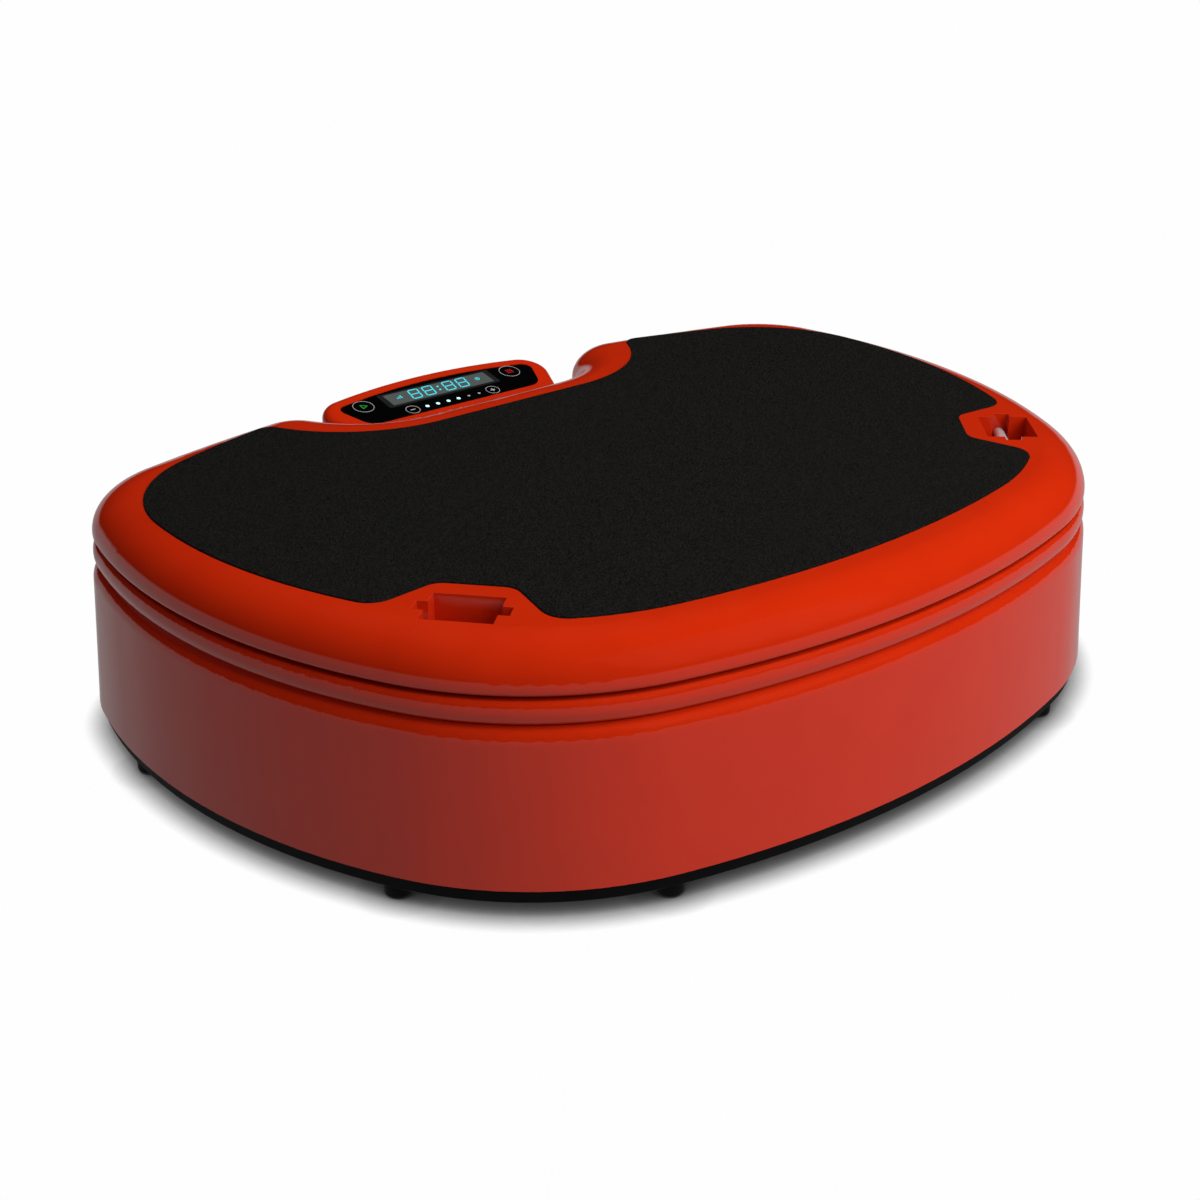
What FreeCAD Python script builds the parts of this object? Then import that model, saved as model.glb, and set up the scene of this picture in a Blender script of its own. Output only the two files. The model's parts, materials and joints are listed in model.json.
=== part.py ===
import FreeCAD, Part
import math
import os

# Whole-body vibration plate. Millimetres, +Z up, the user stands facing +Y, towards the console.
# The origin is on the floor, under the middle of the overall box.

# ---- overall form ----
overall_depth = 557.0
base_width = 738.0
standing_height = 175.0          # top of the standing mat above the floor
console_overhang = 7.0           # the console reaches this far past the back of the base

# ---- outline of the base, heading by heading, starting at the front and turning left ----
base_turns = [15.4, 61.0, 103.3, 164.0, 180.0]
base_front_corner = 220.0
base_back_corner = 100.0

# ---- standing mat ----
mat_width = 660.0
mat_front_margin = 51.1          # from the front of the base to the mat
mat_back_margin = 29.3           # from the back of the base to the back arc of the mat
mat_turns = [11.9, 58.5, 95.2, 158.7, 180.0]
mat_front_corner = 198.0
mat_back_corner = 110.0
mat_thickness = 4.0
mat_proud = 1.0                  # how far the mat stands above the rim of the cover
mat_gap = 0.4

# ---- bay in the back of the deck, where the console sits ----
bay_floor = 124.5                # from the back of the base to the flat floor of the bay, at the mat
bay_rim = 42.0                   # width of the cover's rim in front of the bay
mat_bay_flat = 70.0              # half of the straight floor of the bay
mat_bay_radius = 113.0
mat_lobe_radius = 12.0
deck_bay_flat = 62.0
deck_bay_radius = 70.0
deck_lobe_radius = 42.0

# ---- deck cover ----
girth_in = 9.5                   # the cover's widest line lies this far inside the base outline
nose_depth = 34.0
nose_height = 26.5
tuck = 4.1
lip = 2.5
cover_wall = 3.5
rim_thickness = 6.5

# ---- ridge band and skirt ----
deck_travel = 1.5                # the deck shakes this far up and this far down
seam_clear = 0.9                 # what is left of the seam under the cover at the lowest point
band_height = 15.0
band_edge_in = 12.0
band_crest_in = 8.5
band_depth = 13.0
band_lip_height = 16.0           # upstand behind the seam
band_wall = 2.5
groove = 2.0
shoulder_in = 6.5
shoulder_edge_in = 12.5
shoulder_height = 11.0
skirt_wall = 3.2
skirt_foot = 12.0                # width of the turned-in foot of the skirt
skirt_bottom = 20.0              # height of the skirt's lower edge above the floor
frame_in = 33.0                  # inner edge of the top flange

# ---- floor pan and feet ----
pan_in = 3.0
pan_bottom = 9.5
pan_wall = 3.5
pan_rise = 14.0
pan_clear = 1.0
foot_radius = 9.5
foot_round = 2.5
foot_in = 14.0
foot_headings = [15.7, 61.9, 95.0, 169.0]
foot_screw_radius = 2.0
foot_screw_length = 9.0
skirt_screw_headings = [8.0, 38.0, 75.0, 125.0, 172.0]
skirt_screw_in = 8.0
skirt_screw_radius = 1.75
skirt_boss_radius = 3.8
skirt_boss_height = 14.0
screw_head_radius = 3.6
screw_head_height = 2.4
fit_gap = 0.05                   # round parts held in round seats
loose_gap = 0.3                  # parts that only lie in a recess

# ---- strap wells ----
well_heading = 54.0              # where each well lies along the edge of the deck
well_in = 61.3
well_turn = 49.1                 # heading of the outline that the well is square to
well_length = 45.0               # along the edge of the deck
well_width = 37.0
ear_length = 7.0
ear_width = 12.0
well_depth = 30.0
ear_depth = 22.0
well_wall = 3.0
rod_radius = 4.0
rod_clear = 0.5                  # between the rod and the underside of the steel deck
pocket_inner = 33.5              # mat edge behind the well, from the well's centre
pocket_outer = 4.3
pocket_inner_half = 25.0
pocket_outer_half = 52.0
pocket_inner_round = 14.0
pocket_outer_round = 18.0
bracket_thickness = 4.0
bracket_width = 24.0
bracket_foot = 16.0
bracket_land = 5.0               # metal of the bracket below the rod
bracket_bolt_radius = 2.5

# ---- steel deck ----
plate_in = girth_in + nose_depth + 1.5
plate_thickness = 4.0
beam_end_in = 99.0               # from the side of the base to the end of a beam
beam_length = base_width - 2 * beam_end_in
beam_width = 40.0
beam_height = 25.0
beam_wall = 2.0
beam_front = -55.0
beam_rear = 110.0
deck_screw_headings = [3.0, 25.0, 80.0, 115.0, 166.0]
deck_screw_in = plate_in + 6.0
deck_screw_radius = 2.0
deck_screw_bite = 2.8

# ---- rubber isolators and what carries them ----
isolator_x = beam_length / 2 - 35.0
isolator_radius = 23.0
isolator_waist = 20.0
isolator_plate_radius = 25.0
isolator_plate = 3.0
isolator_height = 35.5
stud_radius = 5.0
stud_length = 14.0
nut_flats = 17.0
nut_height = 8.0
rail_width = 50.0
rail_height = 25.0
rail_wall = 2.0
rail_overrun = 40.0
pedestal_radius = 24.0
pedestal_wall = 3.0
pedestal_cap = 5.0
pedestal_foot = 4.0

# ---- motors ----
motor_x = 62.0
motor_radius = 42.0
motor_wall = 4.0
motor_length = 110.0
cap_thickness = 10.0
cap_spigot = 6.0
shaft_radius = 7.5
bearing_radius = 17.5
bearing_width = 9.0
rotor_radius = 26.0
air_gap = 0.5
core_length = 76.0
clamp_wall = 5.0
clamp_width = 20.0
clamp_spacing = 66.0
clamp_half_width = 30.0
weight_radius = 38.0
weight_hub_radius = 15.0
weight_thickness = 18.0
weight_angle = 150.0
weight_gap = 2.0
shaft_overhang = 3.0
carrier_thickness = 6.0
carrier_half_width = 135.0
carrier_bolt_radius = 4.0
carrier_bolt_x = [25.0, 120.0]
grommet_radius = 9.0
grommet_length = 6.0
lead_slack = 2.2
lead_radius = 3.0

# ---- console ----
console_border = 15.0            # from the glass to the side of the console, all round
console_rim = 0.5                # the cover's rim stands above the glass
console_round = 8.0
console_wall = 3.0
console_shell = 5.5              # the cover's top surface is hollowed out this far below the glass
face_tilt = 12.3
face_height = 162.3              # the glass plane at face_y
glass_back = overall_depth / 2 - console_border
glass_front = glass_back - 43.5
face_y = glass_back - 5.3
glass_thickness = 2.5
glass_turns = [68.0, 168.8, 180.0]
glass_front_corner = 14.0
glass_back_corner = 8.0
glass_back_radius = 450.0
lcd_half_length = 54.0
lcd_front = glass_back - 27.0
lcd_back = glass_back - 5.0
lcd_thickness = 7.0
board_thickness = 1.6
console_board_half = 80.0
console_board_front = glass_front - 1.0
console_board_back = glass_back - 5.5
board_screw_radius = 1.0
board_screw_in = 5.0             # from the board's ends and its front edge
board_screw_back = 14.0          # from the board's back edge
board_boss_radius = 2.8
console_post_x = [40.0, 92.0]
console_post_y = [glass_front - 7.0, glass_front + 20.0]
console_post_radius = 4.5
console_screw_radius = 1.5
console_screw_bite = 8.0
cable_hole_radius = 7.0
cable_hole = (20.0, glass_front + 6.0)

# ---- mains panel in the back of the skirt ----
panel_x = -20.0
panel_z = 70.0
panel_half_length = 60.0
panel_half_height = 28.0
panel_recess = 16.0              # from the back of the base to the panel's outer face
panel_rim = 8.0
panel_thickness = 3.0
inlet_x = -48.0
inlet_half_length = 13.6
inlet_half_height = 10.1
inlet_flange = (25.0, 11.8, 3.0)
inlet_cavity = (12.3, 8.3, 17.0)
inlet_body_length = 24.0
inlet_pin = (1.0, 2.0, 12.0)
inlet_pin_x = [-7.0, 0.0, 7.0]
inlet_pin_rise = 2.0
inlet_screw_x = 20.0
rocker_x = 22.0
rocker_half_length = 7.5
rocker_half_height = 11.0
rocker_out = 7.0
rocker_in = 2.0
rocker_tilt = 10.0
rocker_pin_radius = 1.5
rocker_pin_length = 2.0
rocker_clear = 1.5
switch_wall = 2.6
switch_flange = 2.5
switch_depth = 20.0
panel_screw_radius = 1.5

# ---- electronics ----
electronics_y = 180.0
supply_x = -60.0
driver_x = 60.0
circuit_half_length = 46.0
circuit_half_width = 34.0
standoff_radius = 3.5
standoff_height = 12.0
standoff_inset = 5.0

# ---- places worked out from the driving dimensions ----
base_front_y = -overall_depth / 2
base_back_y = overall_depth / 2 - console_overhang
rim_top = standing_height - mat_proud
mat_bottom = standing_height - mat_thickness
girth_z = rim_top - nose_height
cover_bottom = girth_z - tuck
band_top = cover_bottom - deck_travel - seam_clear
band_bottom = band_top - band_height
shelf_top = band_bottom - groove
shelf_bottom = shelf_top - skirt_wall
shoulder_z = shelf_top - shoulder_height
pan_floor = pan_bottom + pan_wall
plate_top = rim_top - rim_thickness
plate_bottom = plate_top - plate_thickness
beam_bottom = plate_bottom - beam_height
isolator_top = beam_bottom - isolator_plate
isolator_bottom = isolator_top - isolator_height
pedestal_top = isolator_bottom - isolator_plate
rail_top = pan_floor + rail_height
carrier_bottom = beam_bottom - carrier_thickness
motor_y = (beam_front + beam_rear) / 2
motor_z = carrier_bottom - clamp_wall - motor_radius
isolator_places = [(side * isolator_x, y) for side in (-1, 1) for y in (beam_front, beam_rear)]

UP = FreeCAD.Vector(0, 0, 1)
ACROSS = FreeCAD.Vector(1, 0, 0)
ALONG = FreeCAD.Vector(0, 1, 0)
ORIGIN = FreeCAD.Vector(0, 0, 0)
QUARTER_POLE = 0.5523            # handle length of a cubic that follows a quarter circle or ellipse


def vec(x, y, z=0.0):
    return FreeCAD.Vector(x, y, z)


def heading_vector(heading):
    angle = math.radians(heading)
    return vec(math.cos(angle), math.sin(angle))


def outward(heading):
    angle = math.radians(heading)
    return vec(math.sin(angle), -math.cos(angle))


# ---- outlines made of tangent bends and straight runs ----

class Bend:
    """An arc of an outline. It turns left if end > start, and then its centre lies inside."""

    def __init__(self, centre, radius, start, end):
        self.centre, self.radius, self.start, self.end = centre, radius, start, end
        self.side = 1 if end > start else -1

    def point(self, heading, inset):
        return self.centre + outward(heading) * (self.side * self.radius - inset)

    def first(self, inset):
        return self.point(self.start, inset)

    def edge(self, inset):
        middle = (self.start + self.end) / 2
        points = [self.point(heading, inset) for heading in (self.start, middle, self.end)]
        return Part.Arc(*points).toShape()

    def solid(self, face):
        return face.revolve(self.centre, UP, self.end - self.start)


class Run:
    """A straight stretch of an outline."""

    def __init__(self, start, heading, length):
        self.start, self.heading, self.length = start, heading, length

    def first(self, inset):
        return self.start - outward(self.heading) * inset

    def edge(self, inset):
        begin = self.first(inset)
        return Part.LineSegment(begin, begin + heading_vector(self.heading) * self.length).toShape()

    def solid(self, face):
        return face.extrude(heading_vector(self.heading) * self.length)


def solve_linear(rows):
    """Gauss-Jordan elimination; each row is its coefficients and then its right-hand side."""
    count = len(rows)
    for lead in range(count):
        pivot = max(range(lead, count), key=lambda i: abs(rows[i][lead]))
        rows[lead], rows[pivot] = rows[pivot], rows[lead]
        rows[lead] = [value / rows[lead][lead] for value in rows[lead]]
        for i in range(count):
            if i != lead:
                factor = rows[i][lead]
                rows[i] = [a - factor * b for a, b in zip(rows[i], rows[lead])]
    return [row[-1] for row in rows]


def trace(front, back, steps, half_width=None):
    """Right half of an outline from (0, front), heading +X, to (0, back), heading -X.

    A step is (end heading, radius) for a bend or (None, length) for a straight run. Sizes given as
    None are solved, so that the outline closes and, if half_width is given, is that wide.
    """
    shares = []
    heading = 0.0
    for end, size in steps:
        a = math.radians(heading)
        if end is None:
            shares.append((math.cos(a), math.sin(a), math.cos(a) if heading < 90 else 0.0))
            continue
        b = math.radians(end)
        widest = math.sin(min(b, math.pi / 2)) - math.sin(a) if heading < 90 else 0.0
        shares.append((math.sin(b) - math.sin(a), math.cos(a) - math.cos(b), widest))
        heading = end
    wanted = [0.0, back - front] + ([] if half_width is None else [half_width])
    unknown = [i for i, step in enumerate(steps) if step[1] is None]
    rows = []
    for k, target in enumerate(wanted):
        known = sum(share[k] * step[1] for share, step in zip(shares, steps) if step[1] is not None)
        rows.append([shares[i][k] for i in unknown] + [target - known])
    solved = dict(zip(unknown, solve_linear(rows)))
    path = []
    place = vec(0, front)
    heading = 0.0
    for i, (end, size) in enumerate(steps):
        size = solved.get(i, size)
        if end is None:
            path.append(Run(place, heading, size))
            place = place + heading_vector(heading) * size
            continue
        centre = place - outward(heading) * size
        path.append(Bend(centre, size, heading, end))
        place = centre + outward(end) * size
        heading = end
    return path


def add_bay(path, level, floor_y, flat, bay_radius, lobe_radius):
    """Sinks a bay into the back of an outline. Its sizes hold at the inset called level."""
    back = path[-1]
    bay = vec(flat, floor_y + bay_radius)
    reach = back.radius - level - lobe_radius
    span = bay_radius + lobe_radius
    between = bay - back.centre
    distance = between.Length
    along = (reach ** 2 - span ** 2 + distance ** 2) / (2 * distance)
    height = math.sqrt(reach ** 2 - along ** 2)
    unit = between * (1 / distance)
    lobe = back.centre + unit * along + vec(unit.y, -unit.x) * height
    leave = heading_of(lobe - back.centre)
    turn = heading_of(bay - lobe)
    return path[:-1] + [
        Bend(back.centre, back.radius, back.start, leave),
        Bend(lobe, lobe_radius + level, leave, turn),
        Bend(bay, bay_radius - level, turn, 180.0),
        Run(vec(flat, floor_y + level), 180.0, flat),
    ]


def heading_of(direction):
    return math.degrees(math.atan2(direction.x, -direction.y)) % 360


def bend_at(path, heading):
    return next(part for part in path if isinstance(part, Bend) and part.start <= heading <= part.end)


def on_path(path, heading, inset):
    return bend_at(path, heading).point(heading, inset)


# ---- solids on an outline ----

def mirrored(shape):
    return shape.mirror(ORIGIN, ACROSS)


def both_sides(shape):
    return [shape, mirrored(shape)]


def slab(path, inset, low, high):
    half = [part.edge(inset) for part in path]
    other = [edge.mirror(ORIGIN, ACROSS) for edge in reversed(half)]
    face = Part.Face(Part.Wire(half + other))
    face.translate(UP * low)
    return face.extrude(UP * (high - low))


def section(points, place):
    """Face of a closed profile. A point may follow ("quarter", corner), for a quarter ellipse."""
    edges = []
    start = points[0]
    corner = None
    for step in points[1:] + [points[0]]:
        if step[0] == "quarter":
            corner = step[1]
            continue
        a, b = place(*start), place(*step)
        if corner is None:
            edges.append(Part.LineSegment(a, b).toShape())
        else:
            middle = place(*corner)
            curve = Part.BezierCurve()
            curve.setPoles([a, a + (middle - a) * QUARTER_POLE, b + (middle - b) * QUARTER_POLE, b])
            edges.append(curve.toShape())
        start, corner = step, None
    return Part.Face(Part.Wire(edges))


def ring(path, points):
    """Carries a profile of (inset, height) points round an outline and its mirror image."""
    pieces = []
    for part in path:
        face = section(points, lambda inset, z: part.first(inset) + UP * z)
        pieces += both_sides(part.solid(face))
    return join(pieces)


def join(shapes):
    first = shapes[0]
    if len(shapes) == 1:
        return first
    return first.multiFuse(shapes[1:]).removeSplitter()


def box(x0, x1, y0, y1, z0, z1):
    return Part.makeBox(x1 - x0, y1 - y0, z1 - z0, vec(x0, y0, z0))


def rod(radius, start, direction, length):
    return Part.makeCylinder(radius, length, start, direction)


def post(radius, x, y, low, high):
    return rod(radius, vec(x, y, low), UP, high - low)


def tube(radius, wall, start, direction, length):
    return rod(radius, start, direction, length).cut(rod(radius - wall, start, direction, length))


def screw(radius, x, y, head_face, length, head=None, head_height=None):
    """A screw that points up, its head under head_face."""
    head = head or radius * 1.8
    head_height = head_height or radius * 1.2
    return join([post(head, x, y, head_face - head_height, head_face),
                 post(radius, x, y, head_face, head_face + length)])


def hexagon(flats, x, y, low, high, bore):
    corner = flats / math.sqrt(3)
    points = [vec(x, y, low) + heading_vector(60.0 * i) * corner for i in range(7)]
    nut = Part.Face(Part.makePolygon(points)).extrude(UP * (high - low))
    return nut.cut(post(bore, x, y, low, high))


def cable(points, radius):
    """Straight runs joined by arcs that are as large as the two runs allow."""
    points = [vec(*point) for point in points]
    edges = []
    start = points[0]
    for before, corner, after in zip(points, points[1:], points[2:]):
        incoming = (corner - before).normalize()
        outgoing = (after - corner).normalize()
        turn = incoming.getAngle(outgoing)
        cut_back = 0.45 * min((corner - before).Length, (after - corner).Length)
        enter = corner - incoming * cut_back
        leave = corner + outgoing * cut_back
        bend_radius = cut_back / math.tan(turn / 2)
        centre = corner + (outgoing - incoming).normalize() * (bend_radius / math.cos(turn / 2))
        middle = centre + (corner - centre).normalize() * bend_radius
        edges.append(Part.LineSegment(start, enter).toShape())
        edges.append(Part.Arc(enter, middle, leave).toShape())
        start = leave
        print("cable bend radius", round(bend_radius, 1))
    edges.append(Part.LineSegment(start, points[-1]).toShape())
    path = Part.Wire(edges)
    ends = Part.Wire(Part.makeCircle(radius, points[0], points[1] - points[0]))
    sweep = path.makePipeShell([ends], True, False)
    print("cable volume / section x length", round(sweep.Volume / (math.pi * radius ** 2 * path.Length), 4))
    return sweep


def group(shapes):
    return Part.makeCompound(shapes)


nodes = {}


def add(name, shape):
    nodes[name] = shape


# ---- the outlines ----

base_path = trace(
    base_front_y, base_back_y,
    [(base_turns[0], None), (base_turns[1], base_front_corner), (base_turns[2], None),
     (base_turns[3], base_back_corner), (base_turns[4], None)],
    base_width / 2)

bay_floor_y = base_back_y - bay_floor
mat_path = add_bay(
    trace(base_front_y + mat_front_margin, base_back_y - mat_back_margin,
          [(mat_turns[0], None), (mat_turns[1], mat_front_corner), (mat_turns[2], None),
           (mat_turns[3], mat_back_corner), (mat_turns[4], None)],
          mat_width / 2),
    0.0, bay_floor_y, mat_bay_flat, mat_bay_radius, mat_lobe_radius)

deck_path = add_bay(base_path, girth_in, bay_floor_y + bay_rim, deck_bay_flat,
                    deck_bay_radius, deck_lobe_radius)

glass_path = trace(
    glass_front, glass_back,
    [(None, None), (glass_turns[0], glass_front_corner), (None, None),
     (glass_turns[1], glass_back_corner), (glass_turns[2], glass_back_radius)])


# ---- strap wells: local X points out of the deck, local Y runs along its edge ----

well_centre = on_path(base_path, well_heading, well_in)


def at_well(shape):
    placed = shape.copy()
    placed.rotate(ORIGIN, UP, well_turn - 90)
    placed.translate(well_centre)
    return placed


def well_block(grow, top, main_bottom, ear_bottom):
    main = box(-well_width / 2 - grow, well_width / 2 + grow,
               -well_length / 2 - grow, well_length / 2 + grow, main_bottom, top)
    ear_reach = well_length / 2 + ear_length + grow
    ears = box(-ear_width / 2 - grow, ear_width / 2 + grow, -ear_reach, ear_reach, ear_bottom, top)
    return main.fuse(ears).removeSplitter()


rod_z = rim_top - rim_thickness - plate_thickness - rod_radius - rod_clear
ear_end = well_length / 2 + ear_length
rod_half = ear_end + well_wall + loose_gap + bracket_thickness + 1.0


def rod_shape(radius):
    return rod(radius, vec(0, -rod_half, rod_z), ALONG, 2 * rod_half)


def strap_cups():
    """Walls that hang under the cover round each well."""
    cup = well_block(well_wall, plate_top + rim_thickness / 2,
                     rim_top - well_depth - well_wall, rim_top - ear_depth - well_wall)
    return both_sides(at_well(cup))


def strap_hollows():
    hollow = well_block(0, rim_top + 1, rim_top - well_depth, rim_top - ear_depth)
    hollow = hollow.fuse(rod_shape(rod_radius + fit_gap))
    return both_sides(at_well(hollow))


def pocket_prism(grow, low, high):
    slope = (pocket_outer_half - pocket_inner_half) / (pocket_outer + pocket_inner)
    reach = 90.0
    far_half = pocket_outer_half + slope * (reach - pocket_outer)
    side_grow = grow * math.hypot(1, slope) - slope * grow
    inner, outer = pocket_inner_half - side_grow, far_half - side_grow
    near = grow - pocket_inner
    corners = [(near, -inner), (reach, -outer), (reach, outer), (near, inner)]
    points = [vec(x, y, low) for x, y in corners + corners[:1]]
    return Part.Face(Part.makePolygon(points)).extrude(UP * (high - low))


def mat_blank(grow, low, high):
    """The mat's outline, bigger all round by grow, with a rounded pocket at each well."""
    blank = slab(mat_path, -grow, low, high)
    for pocket in both_sides(at_well(pocket_prism(grow, low - 1, high + 1))):
        blank = blank.cut(pocket)
    inner, outer = [], []
    for edge in blank.Edges:
        ends = [vertex.Point for vertex in edge.Vertexes]
        upright = len(ends) == 2 and abs(ends[0].z - ends[1].z) > 0.9 * (high - low)
        if not upright:
            continue
        place = vec(abs(ends[0].x), ends[0].y) - well_centre
        away = place.dot(outward(well_turn))
        along = abs(place.dot(heading_vector(well_turn)))
        if abs(away + pocket_inner - grow) < 2 and along < pocket_inner_half + 5:
            inner.append(edge)
        elif abs(along - pocket_outer_half) < 20 and away > -pocket_inner / 2 and place.Length < 90:
            outer.append(edge)
    blank = blank.makeFillet(pocket_inner_round - grow, inner)
    outer_now = []
    for edge in blank.Edges:
        ends = [vertex.Point for vertex in edge.Vertexes]
        if any((ends[0] - old.Vertexes[0].Point).Length < 0.01 or
               (ends[0] - old.Vertexes[1].Point).Length < 0.01
               for old in outer if len(ends) == 2 and abs(ends[0].z - ends[1].z) > 0.9 * (high - low)):
            outer_now.append(edge)
    return blank.makeFillet(pocket_outer_round + grow, outer_now)


def deck_cover():
    wall_in = girth_in + cover_wall
    flat_in = girth_in + nose_depth
    profile = [
        (flat_in, rim_top), ("quarter", (girth_in, rim_top)), (girth_in, girth_z),
        ("quarter", (girth_in, cover_bottom)), (girth_in + tuck, cover_bottom),
        (girth_in + tuck + lip, cover_bottom), (wall_in, girth_z),
        ("quarter", (wall_in, plate_top)), (flat_in, plate_top),
    ]
    cover = ring(deck_path, profile).fuse(slab(deck_path, flat_in, plate_top, rim_top))
    cover = cover.removeSplitter()
    cover = cover.cut(mat_blank(mat_gap, mat_bottom, rim_top + 1))
    cover = cover.multiFuse(strap_cups()).removeSplitter()
    for hollow in strap_hollows():
        cover = cover.cut(hollow)
    for x, y in deck_screw_places():
        cover = cover.cut(post(deck_screw_radius + fit_gap, x, y, plate_top,
                               plate_top + deck_screw_bite + 0.2))
    return cover


def standing_mat():
    return mat_blank(0.0, mat_bottom, standing_height)


def deck_screw_places():
    places = [on_path(base_path, heading, deck_screw_in) for heading in deck_screw_headings]
    return [(side * p.x, p.y) for p in places for side in (-1, 1)]


def bracket_bolt_places():
    """Local places of the bolts that hold the strap brackets to the steel deck."""
    y = ear_end + well_wall + loose_gap + bracket_thickness + bracket_foot / 2
    return [(0.0, -y), (0.0, y)]


def deck_plate():
    plate = slab(deck_path, plate_in, plate_bottom, plate_top)
    opening = well_block(well_wall + loose_gap, plate_top + 1, plate_bottom - 1, plate_bottom - 1)
    for cut in both_sides(at_well(opening)):
        plate = plate.cut(cut)
    for x, y in deck_screw_places():
        plate = plate.cut(post(deck_screw_radius + fit_gap, x, y, plate_bottom, plate_top))
    for x, y in bracket_bolt_places():
        bolt = post(bracket_bolt_radius + fit_gap, x, y, plate_bottom, plate_top)
        for cut in both_sides(at_well(bolt)):
            plate = plate.cut(cut)
    return plate


def strap_brackets():
    """Angle pieces under the deck that carry the ends of each strap rod."""
    brackets = []
    near = ear_end + well_wall + loose_gap
    for side in (-1, 1):
        web = box(-bracket_width / 2, bracket_width / 2, near, near + bracket_thickness,
                  rod_z - rod_radius - bracket_land, plate_bottom)
        foot = box(-bracket_width / 2, bracket_width / 2, near, near + bracket_thickness + bracket_foot,
                   plate_bottom - bracket_thickness, plate_bottom)
        bracket = web.fuse(foot).removeSplitter()
        bracket = bracket.cut(rod_shape(rod_radius + fit_gap))
        y = bracket_bolt_places()[1][1]
        bracket = bracket.cut(post(bracket_bolt_radius + fit_gap, 0, y,
                                   plate_bottom - bracket_thickness, plate_bottom))
        if side < 0:
            bracket = bracket.mirror(ORIGIN, ALONG)
        brackets += both_sides(at_well(bracket))
    return group(brackets)


def bracket_bolts():
    bolts = []
    for x, y in bracket_bolt_places():
        bolt = screw(bracket_bolt_radius, x, y, plate_bottom - bracket_thickness,
                     bracket_thickness + plate_thickness)
        bolts += both_sides(at_well(bolt))
    return group(bolts)


def deck_screws():
    return group([screw(deck_screw_radius, x, y, plate_bottom, plate_thickness + deck_screw_bite)
                  for x, y in deck_screw_places()])


def deck_beam(y):
    half = beam_length / 2
    beam = box(-half, half, y - beam_width / 2, y + beam_width / 2, beam_bottom, plate_bottom)
    beam = beam.cut(box(-half, half, y - beam_width / 2 + beam_wall, y + beam_width / 2 - beam_wall,
                        beam_bottom + beam_wall, plate_bottom - beam_wall))
    for x in (-isolator_x, isolator_x):
        beam = beam.cut(post(stud_radius + fit_gap, x, y, beam_bottom, beam_bottom + beam_wall))
    for x in carrier_bolt_places():
        beam = beam.cut(post(carrier_bolt_radius + fit_gap, x, y, beam_bottom, beam_bottom + beam_wall))
    return beam


def carrier_bolt_places():
    return [side * x for side in (-1, 1) for x in carrier_bolt_x]


# ---- isolators ----

def isolator_upper_plates():
    return group([join([post(isolator_plate_radius, x, y, isolator_top, beam_bottom),
                        post(stud_radius, x, y, beam_bottom, beam_bottom + stud_length)])
                  for x, y in isolator_places])


def isolator_upper_nuts():
    low = beam_bottom + beam_wall
    return group([hexagon(nut_flats, x, y, low, low + nut_height, stud_radius + fit_gap)
                  for x, y in isolator_places])


def isolator_rubbers():
    """Waisted rubber springs between the bonded plates."""
    middle = (isolator_bottom + isolator_top) / 2
    rubbers = []
    for x, y in isolator_places:
        side = Part.Arc(vec(isolator_radius, 0, isolator_bottom), vec(isolator_waist, 0, middle),
                        vec(isolator_radius, 0, isolator_top)).toShape()
        outline = [Part.LineSegment(vec(0, 0, isolator_bottom),
                                    vec(isolator_radius, 0, isolator_bottom)).toShape(),
                   side,
                   Part.LineSegment(vec(isolator_radius, 0, isolator_top), vec(0, 0, isolator_top)).toShape(),
                   Part.LineSegment(vec(0, 0, isolator_top), vec(0, 0, isolator_bottom)).toShape()]
        rubber = Part.Face(Part.Wire(outline)).revolve(ORIGIN, UP, 360)
        rubber.translate(vec(x, y))
        rubbers.append(rubber)
    return group(rubbers)


def isolator_lower_plates():
    return group([join([post(isolator_plate_radius, x, y, pedestal_top, isolator_bottom),
                        post(stud_radius, x, y, pedestal_top - stud_length, pedestal_top)])
                  for x, y in isolator_places])


def isolator_lower_nuts():
    high = pedestal_top - pedestal_cap
    return group([hexagon(nut_flats, x, y, high - nut_height, high, stud_radius + fit_gap)
                  for x, y in isolator_places])


def isolator_pedestals():
    pedestals = []
    for x, y in isolator_places:
        leg = tube(pedestal_radius, pedestal_wall, vec(x, y, rail_top), UP, pedestal_top - rail_top)
        cap = post(pedestal_radius, x, y, pedestal_top - pedestal_cap, pedestal_top)
        foot = box(x - rail_width / 2, x + rail_width / 2, y - rail_overrun + 5, y + rail_overrun - 5,
                   rail_top, rail_top + pedestal_foot)
        hole = post(stud_radius + fit_gap, x, y, pedestal_top - pedestal_cap, pedestal_top)
        pedestals.append(join([leg, cap, foot]).cut(hole))
    return group(pedestals)


def base_rail(side):
    x = side * isolator_x
    y0, y1 = beam_front - rail_overrun, beam_rear + rail_overrun
    rail = box(x - rail_width / 2, x + rail_width / 2, y0, y1, pan_floor, rail_top)
    return rail.cut(box(x - rail_width / 2 + rail_wall, x + rail_width / 2 - rail_wall, y0, y1,
                        pan_floor + rail_wall, rail_top - rail_wall))


# ---- motors and eccentric weights ----

def motor_axis(side, y):
    return vec(side * motor_x, y, motor_z)


motor_front = motor_y - motor_length / 2
motor_back = motor_y + motor_length / 2


def motor_housing(side):
    housing = tube(motor_radius, motor_wall, motor_axis(side, motor_front), ALONG, motor_length)
    return housing.cut(lead_bore(side))


def lead_bore(side):
    """Hole for the motor lead, in the outer side of the housing and in its grommet."""
    start = vec(side * (motor_x + motor_radius - motor_wall - 1), motor_y + clamp_spacing / 8, motor_z)
    return rod(lead_radius + lead_slack, start, ACROSS * side, motor_wall + grommet_length + 5)


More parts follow.
